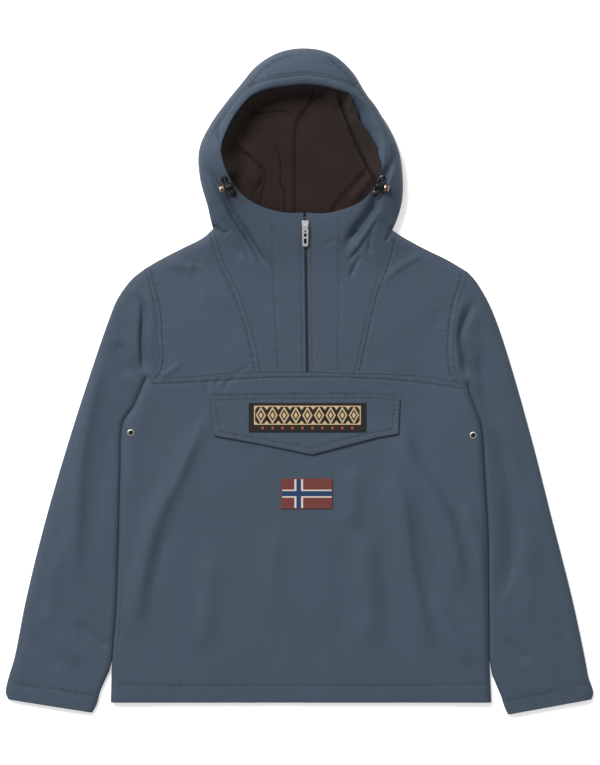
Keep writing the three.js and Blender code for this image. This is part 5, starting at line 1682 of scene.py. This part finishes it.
class ANORAK_OT_body(bpy.types.Operator):
    """Back panel, lower front, yokes and centre fronts"""
    bl_idname = "anorak.body"
    bl_label = "Body panels"

    def execute(self, context):
        lay_shell("body_back", make_body_back())
        lay_shell("body_front", make_body_front())
        for name, side in BOTH.items():
            lay_shell(f"yoke_{name}", make_yoke(f"yoke_{name}", side))
            lay_shell(f"inset_{name}", make_inset(f"inset_{name}", side))
        return {"FINISHED"}


class ANORAK_OT_sleeves(bpy.types.Operator):
    """Both set-in sleeves"""
    bl_idname = "anorak.sleeves"
    bl_label = "Sleeves"

    def execute(self, context):
        for name, side in BOTH.items():
            lay_shell(f"sleeve_{name}", make_sleeve(f"sleeve_{name}", side))
        return {"FINISHED"}


class ANORAK_OT_hood(bpy.types.Operator):
    """Hood sides, crown and drawcord band"""
    bl_idname = "anorak.hood"
    bl_label = "Hood"

    def execute(self, context):
        for name, side in BOTH.items():
            lay_shell(f"hood_side_{name}", make_hood_side(f"hood_side_{name}", side))
        lay_shell("hood_crown", make_hood_crown())
        lay_shell("hood_band", make_hood_band())
        return {"FINISHED"}


class ANORAK_OT_lining(bpy.types.Operator):
    """The three pieces of the hood's lining"""
    bl_idname = "anorak.lining"
    bl_label = "Hood lining"

    def execute(self, context):
        material = finish_once("brushed_lining", lining_finish, context.scene.anorak_cloth)
        for name in LINING_PANELS:
            laid_cloth(name, make_lining(name), material)
        return {"FINISHED"}


class ANORAK_OT_pocket(bpy.types.Operator):
    """Pocket flap with its label, and the flag badge below it"""
    bl_idname = "anorak.pocket"
    bl_label = "Pocket flap and badges"

    def execute(self, context):
        badges = context.scene.anorak_badges
        lay_shell("pocket_flap", make_flap())
        label = make_badge("label_badge", LABEL, flap_plain)
        laid_cloth("label_badge", label, finish_once("woven_label", label_finish, badges))
        flag = make_badge("flag_badge", FLAG, front_plain)
        laid_cloth("flag_badge", flag, finish_once("flag_badge", flag_finish, badges))
        return {"FINISHED"}


class ANORAK_OT_zip(bpy.types.Operator):
    """Zip tape, teeth, slider and pull"""
    bl_idname = "anorak.zip"
    bl_label = "Zip"

    def execute(self, context):
        fittings = context.scene.anorak_fittings
        navy = (0.012, 0.016, 0.026)
        tape = finish_once("navy_tape", thread_finish, "navy_tape", navy)
        in_place_of("zip_tape", make_zip_tape(), tape)
        teeth = make_teeth()
        teeth.data.materials.append(finish_once("navy_nylon", plastic_finish, "navy_nylon", navy, 0.35))
        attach(teeth, BODY)
        silver = finish_once("satin_silver", metal_finish, "satin_silver", fittings.silver, 0.3)
        dress_node("zip_slider", silver)
        dress_node("zip_pull", silver)
        return {"FINISHED"}


def add_shade_dish(node, material):
    """Painted shade in an eyelet's hole: a shallow black dish inside its ring, leaning as the ring does."""
    ring = np.array([vertex.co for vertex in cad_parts[node].data.vertices])
    middle = ring.mean(axis=0)
    normal = np.linalg.svd(ring - middle)[2][2]
    normal *= np.sign(normal[2])
    turn = Vector(normal).to_track_quat("Z", "Y").to_euler()
    foot = middle - normal * SHADE_DISH["depth"] / 2
    bpy.ops.object.select_all(action="DESELECT")
    bpy.ops.mesh.primitive_cylinder_add(vertices=24, radius=SHADE_DISH["radius"], depth=SHADE_DISH["depth"],
                                        location=foot, rotation=turn)
    dish = bpy.context.object
    dish.name = node.replace("eyelet", "shade_dish")
    bpy.ops.object.transform_apply(location=True, rotation=True, scale=True)
    for face in dish.data.polygons:
        face.select = face.normal.dot(Vector(normal)) > 0.9
    bpy.ops.object.mode_set(mode="EDIT")
    bpy.ops.mesh.inset(thickness=SHADE_DISH["lip"])
    bpy.ops.transform.translate(value=normal * -SHADE_DISH["depth"] / 2)
    bpy.ops.object.mode_set(mode="OBJECT")
    dish.data.materials.append(material)
    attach(dish, BODY)


class ANORAK_OT_fittings(bpy.types.Operator):
    """Eyelets, cord locks and drawcord"""
    bl_idname = "anorak.fittings"
    bl_label = "Eyelets and cord locks"

    def execute(self, context):
        fittings = context.scene.anorak_fittings
        # The darkened brass is partly painted dark reflection.
        brass = finish_once("aged_brass", metal_finish, "aged_brass", fittings.brass, 0.3)
        nickel = finish_once("satin_nickel", metal_finish, "satin_nickel", fittings.nickel, 0.45)
        gunmetal = finish_once("gunmetal", metal_finish, "gunmetal", fittings.gunmetal, 0.35)
        black = finish_once("black_acetal", plastic_finish, "black_acetal", fittings.black, 0.4)
        cord = finish_once("black_elastic", braid_finish, "black_elastic", fittings.black)
        for name in BOTH:
            dress_node(f"lock_button_{name}", brass)
            dress_node(f"cord_lock_{name}", black)
            dress_node(f"drawcord_{name}", cord)
            for place in ("side", "top", "foot"):
                dress_node(f"eyelet_{place}_{name}", nickel if place == "side" else gunmetal)
                add_shade_dish(f"eyelet_{place}_{name}", black)
        return {"FINISHED"}


class ANORAK_OT_stitching(bpy.types.Operator):
    """Rows of topstitching on body, sleeves, hood and flap"""
    bl_idname = "anorak.stitching"
    bl_label = "Stitching"

    def execute(self, context):
        add_stitching("topstitching_body", stitched(BODY_LINES, front_plain))
        add_stitching("topstitching_hood", stitched(HOOD_LINES, front_plain))
        add_stitching("topstitching_flap", stitched(FLAP_LINES, flap_plain))
        return {"FINISHED"}


# The stage, in metres
FLOOR = {"size": 9, "z": -0.0004, "glow": 0.4}
KEY_LIGHT = {"spot": (-3.2, 4.6, 5.2), "size": 3.6, "aim": (0, 0.05, 0)}
CAMERA_SPOT = (0.0008, -0.0008)
SENSOR = 36


class ANORAK_OT_stage(bpy.types.Operator):
    """Pale floor, soft light and a camera straight above"""
    bl_idname = "anorak.stage"
    bl_label = "Stage"

    def execute(self, context):
        stage = context.scene.anorak_stage
        bpy.ops.mesh.primitive_plane_add(size=FLOOR["size"], location=(0, 0, FLOOR["z"]))
        floor = context.object
        floor.name = "floor"
        pale = Finish("pale_floor", roughness=0.9, specular_ior_level=0.1,
                      emission_strength=FLOOR["glow"], emission_color=(1, 1, 1, 1))
        grain = pale.noise(pale.coordinates(), 30, 3)
        colour = pale.blended(grain, (0.93, 0.93, 0.93, 1), (0.95, 0.95, 0.95, 1))
        floor.data.materials.append(pale.finished(base_color=colour))
        world = bpy.data.worlds.new("studio")
        world.use_nodes = True
        sky = world.node_tree.nodes["Background"]
        sky.inputs["Color"].default_value = (1, 1, 1, 1)
        sky.inputs["Strength"].default_value = stage.sky
        context.scene.world = world
        context.scene.view_settings.view_transform = "Standard"
        self.add_light("key", KEY_LIGHT, stage.key)
        self.add_camera(context, stage)
        return {"FINISHED"}

    def add_light(self, name, plan, power):
        light = bpy.data.lights.new(name, "AREA")
        light.shape = "DISK"
        light.size = plan["size"]
        light.energy = power
        obj = bpy.data.objects.new(name, light)
        obj.location = plan["spot"]
        ahead = Vector(plan["aim"]) - Vector(plan["spot"])
        obj.rotation_euler = ahead.to_track_quat("-Z", "Y").to_euler()
        bpy.context.scene.collection.objects.link(obj)

    def add_camera(self, context, stage):
        lens = bpy.data.cameras.new("camera")
        lens.sensor_fit = "VERTICAL"
        lens.sensor_height = SENSOR
        lens.lens = SENSOR * stage.camera_height / stage.view_height
        lens.clip_end = 40
        camera = bpy.data.objects.new("camera", lens)
        camera.location = (*CAMERA_SPOT, stage.camera_height)
        context.scene.collection.objects.link(camera)
        context.scene.camera = camera


class ANORAK_PT_panel(bpy.types.Panel):
    """Everything that builds the anorak"""
    bl_idname = "ANORAK_PT_panel"
    bl_label = "Anorak pullover"
    bl_space_type = "VIEW_3D"
    bl_region_type = "UI"
    bl_category = "Anorak"

    def draw(self, context):
        column = self.layout.column()
        for name in SETTINGS:
            group = getattr(context.scene, name)
            for key in group.__annotations__:
                column.prop(group, key)
        for operator in OPERATORS:
            column.operator(operator.bl_idname)


SETTINGS = {
    "anorak_cloth": AnorakCloth,
    "anorak_badges": AnorakBadges,
    "anorak_fittings": AnorakFittings,
    "anorak_stage": AnorakStage,
}
OPERATORS = [
    ANORAK_OT_body, ANORAK_OT_sleeves, ANORAK_OT_hood, ANORAK_OT_lining, ANORAK_OT_pocket, ANORAK_OT_zip,
    ANORAK_OT_fittings, ANORAK_OT_stitching, ANORAK_OT_stage,
]


def register():
    for item in (*SETTINGS.values(), *OPERATORS, ANORAK_PT_panel):
        bpy.utils.register_class(item)
    for name, group in SETTINGS.items():
        setattr(bpy.types.Scene, name, PointerProperty(type=group))


def unregister():
    for name in SETTINGS:
        delattr(bpy.types.Scene, name)
    for item in (ANORAK_PT_panel, *OPERATORS[::-1], *list(SETTINGS.values())[::-1]):
        bpy.utils.unregister_class(item)


def main():
    register()
    bpy.ops.object.select_all(action="DESELECT")
    bpy.ops.anorak.stage()
    bpy.ops.anorak.body()
    bpy.ops.anorak.sleeves()
    bpy.ops.anorak.hood()
    bpy.ops.anorak.lining()
    bpy.ops.anorak.pocket()
    bpy.ops.anorak.zip()
    bpy.ops.anorak.fittings()
    bpy.ops.anorak.stitching()


if __name__ == "__main__":
    main()
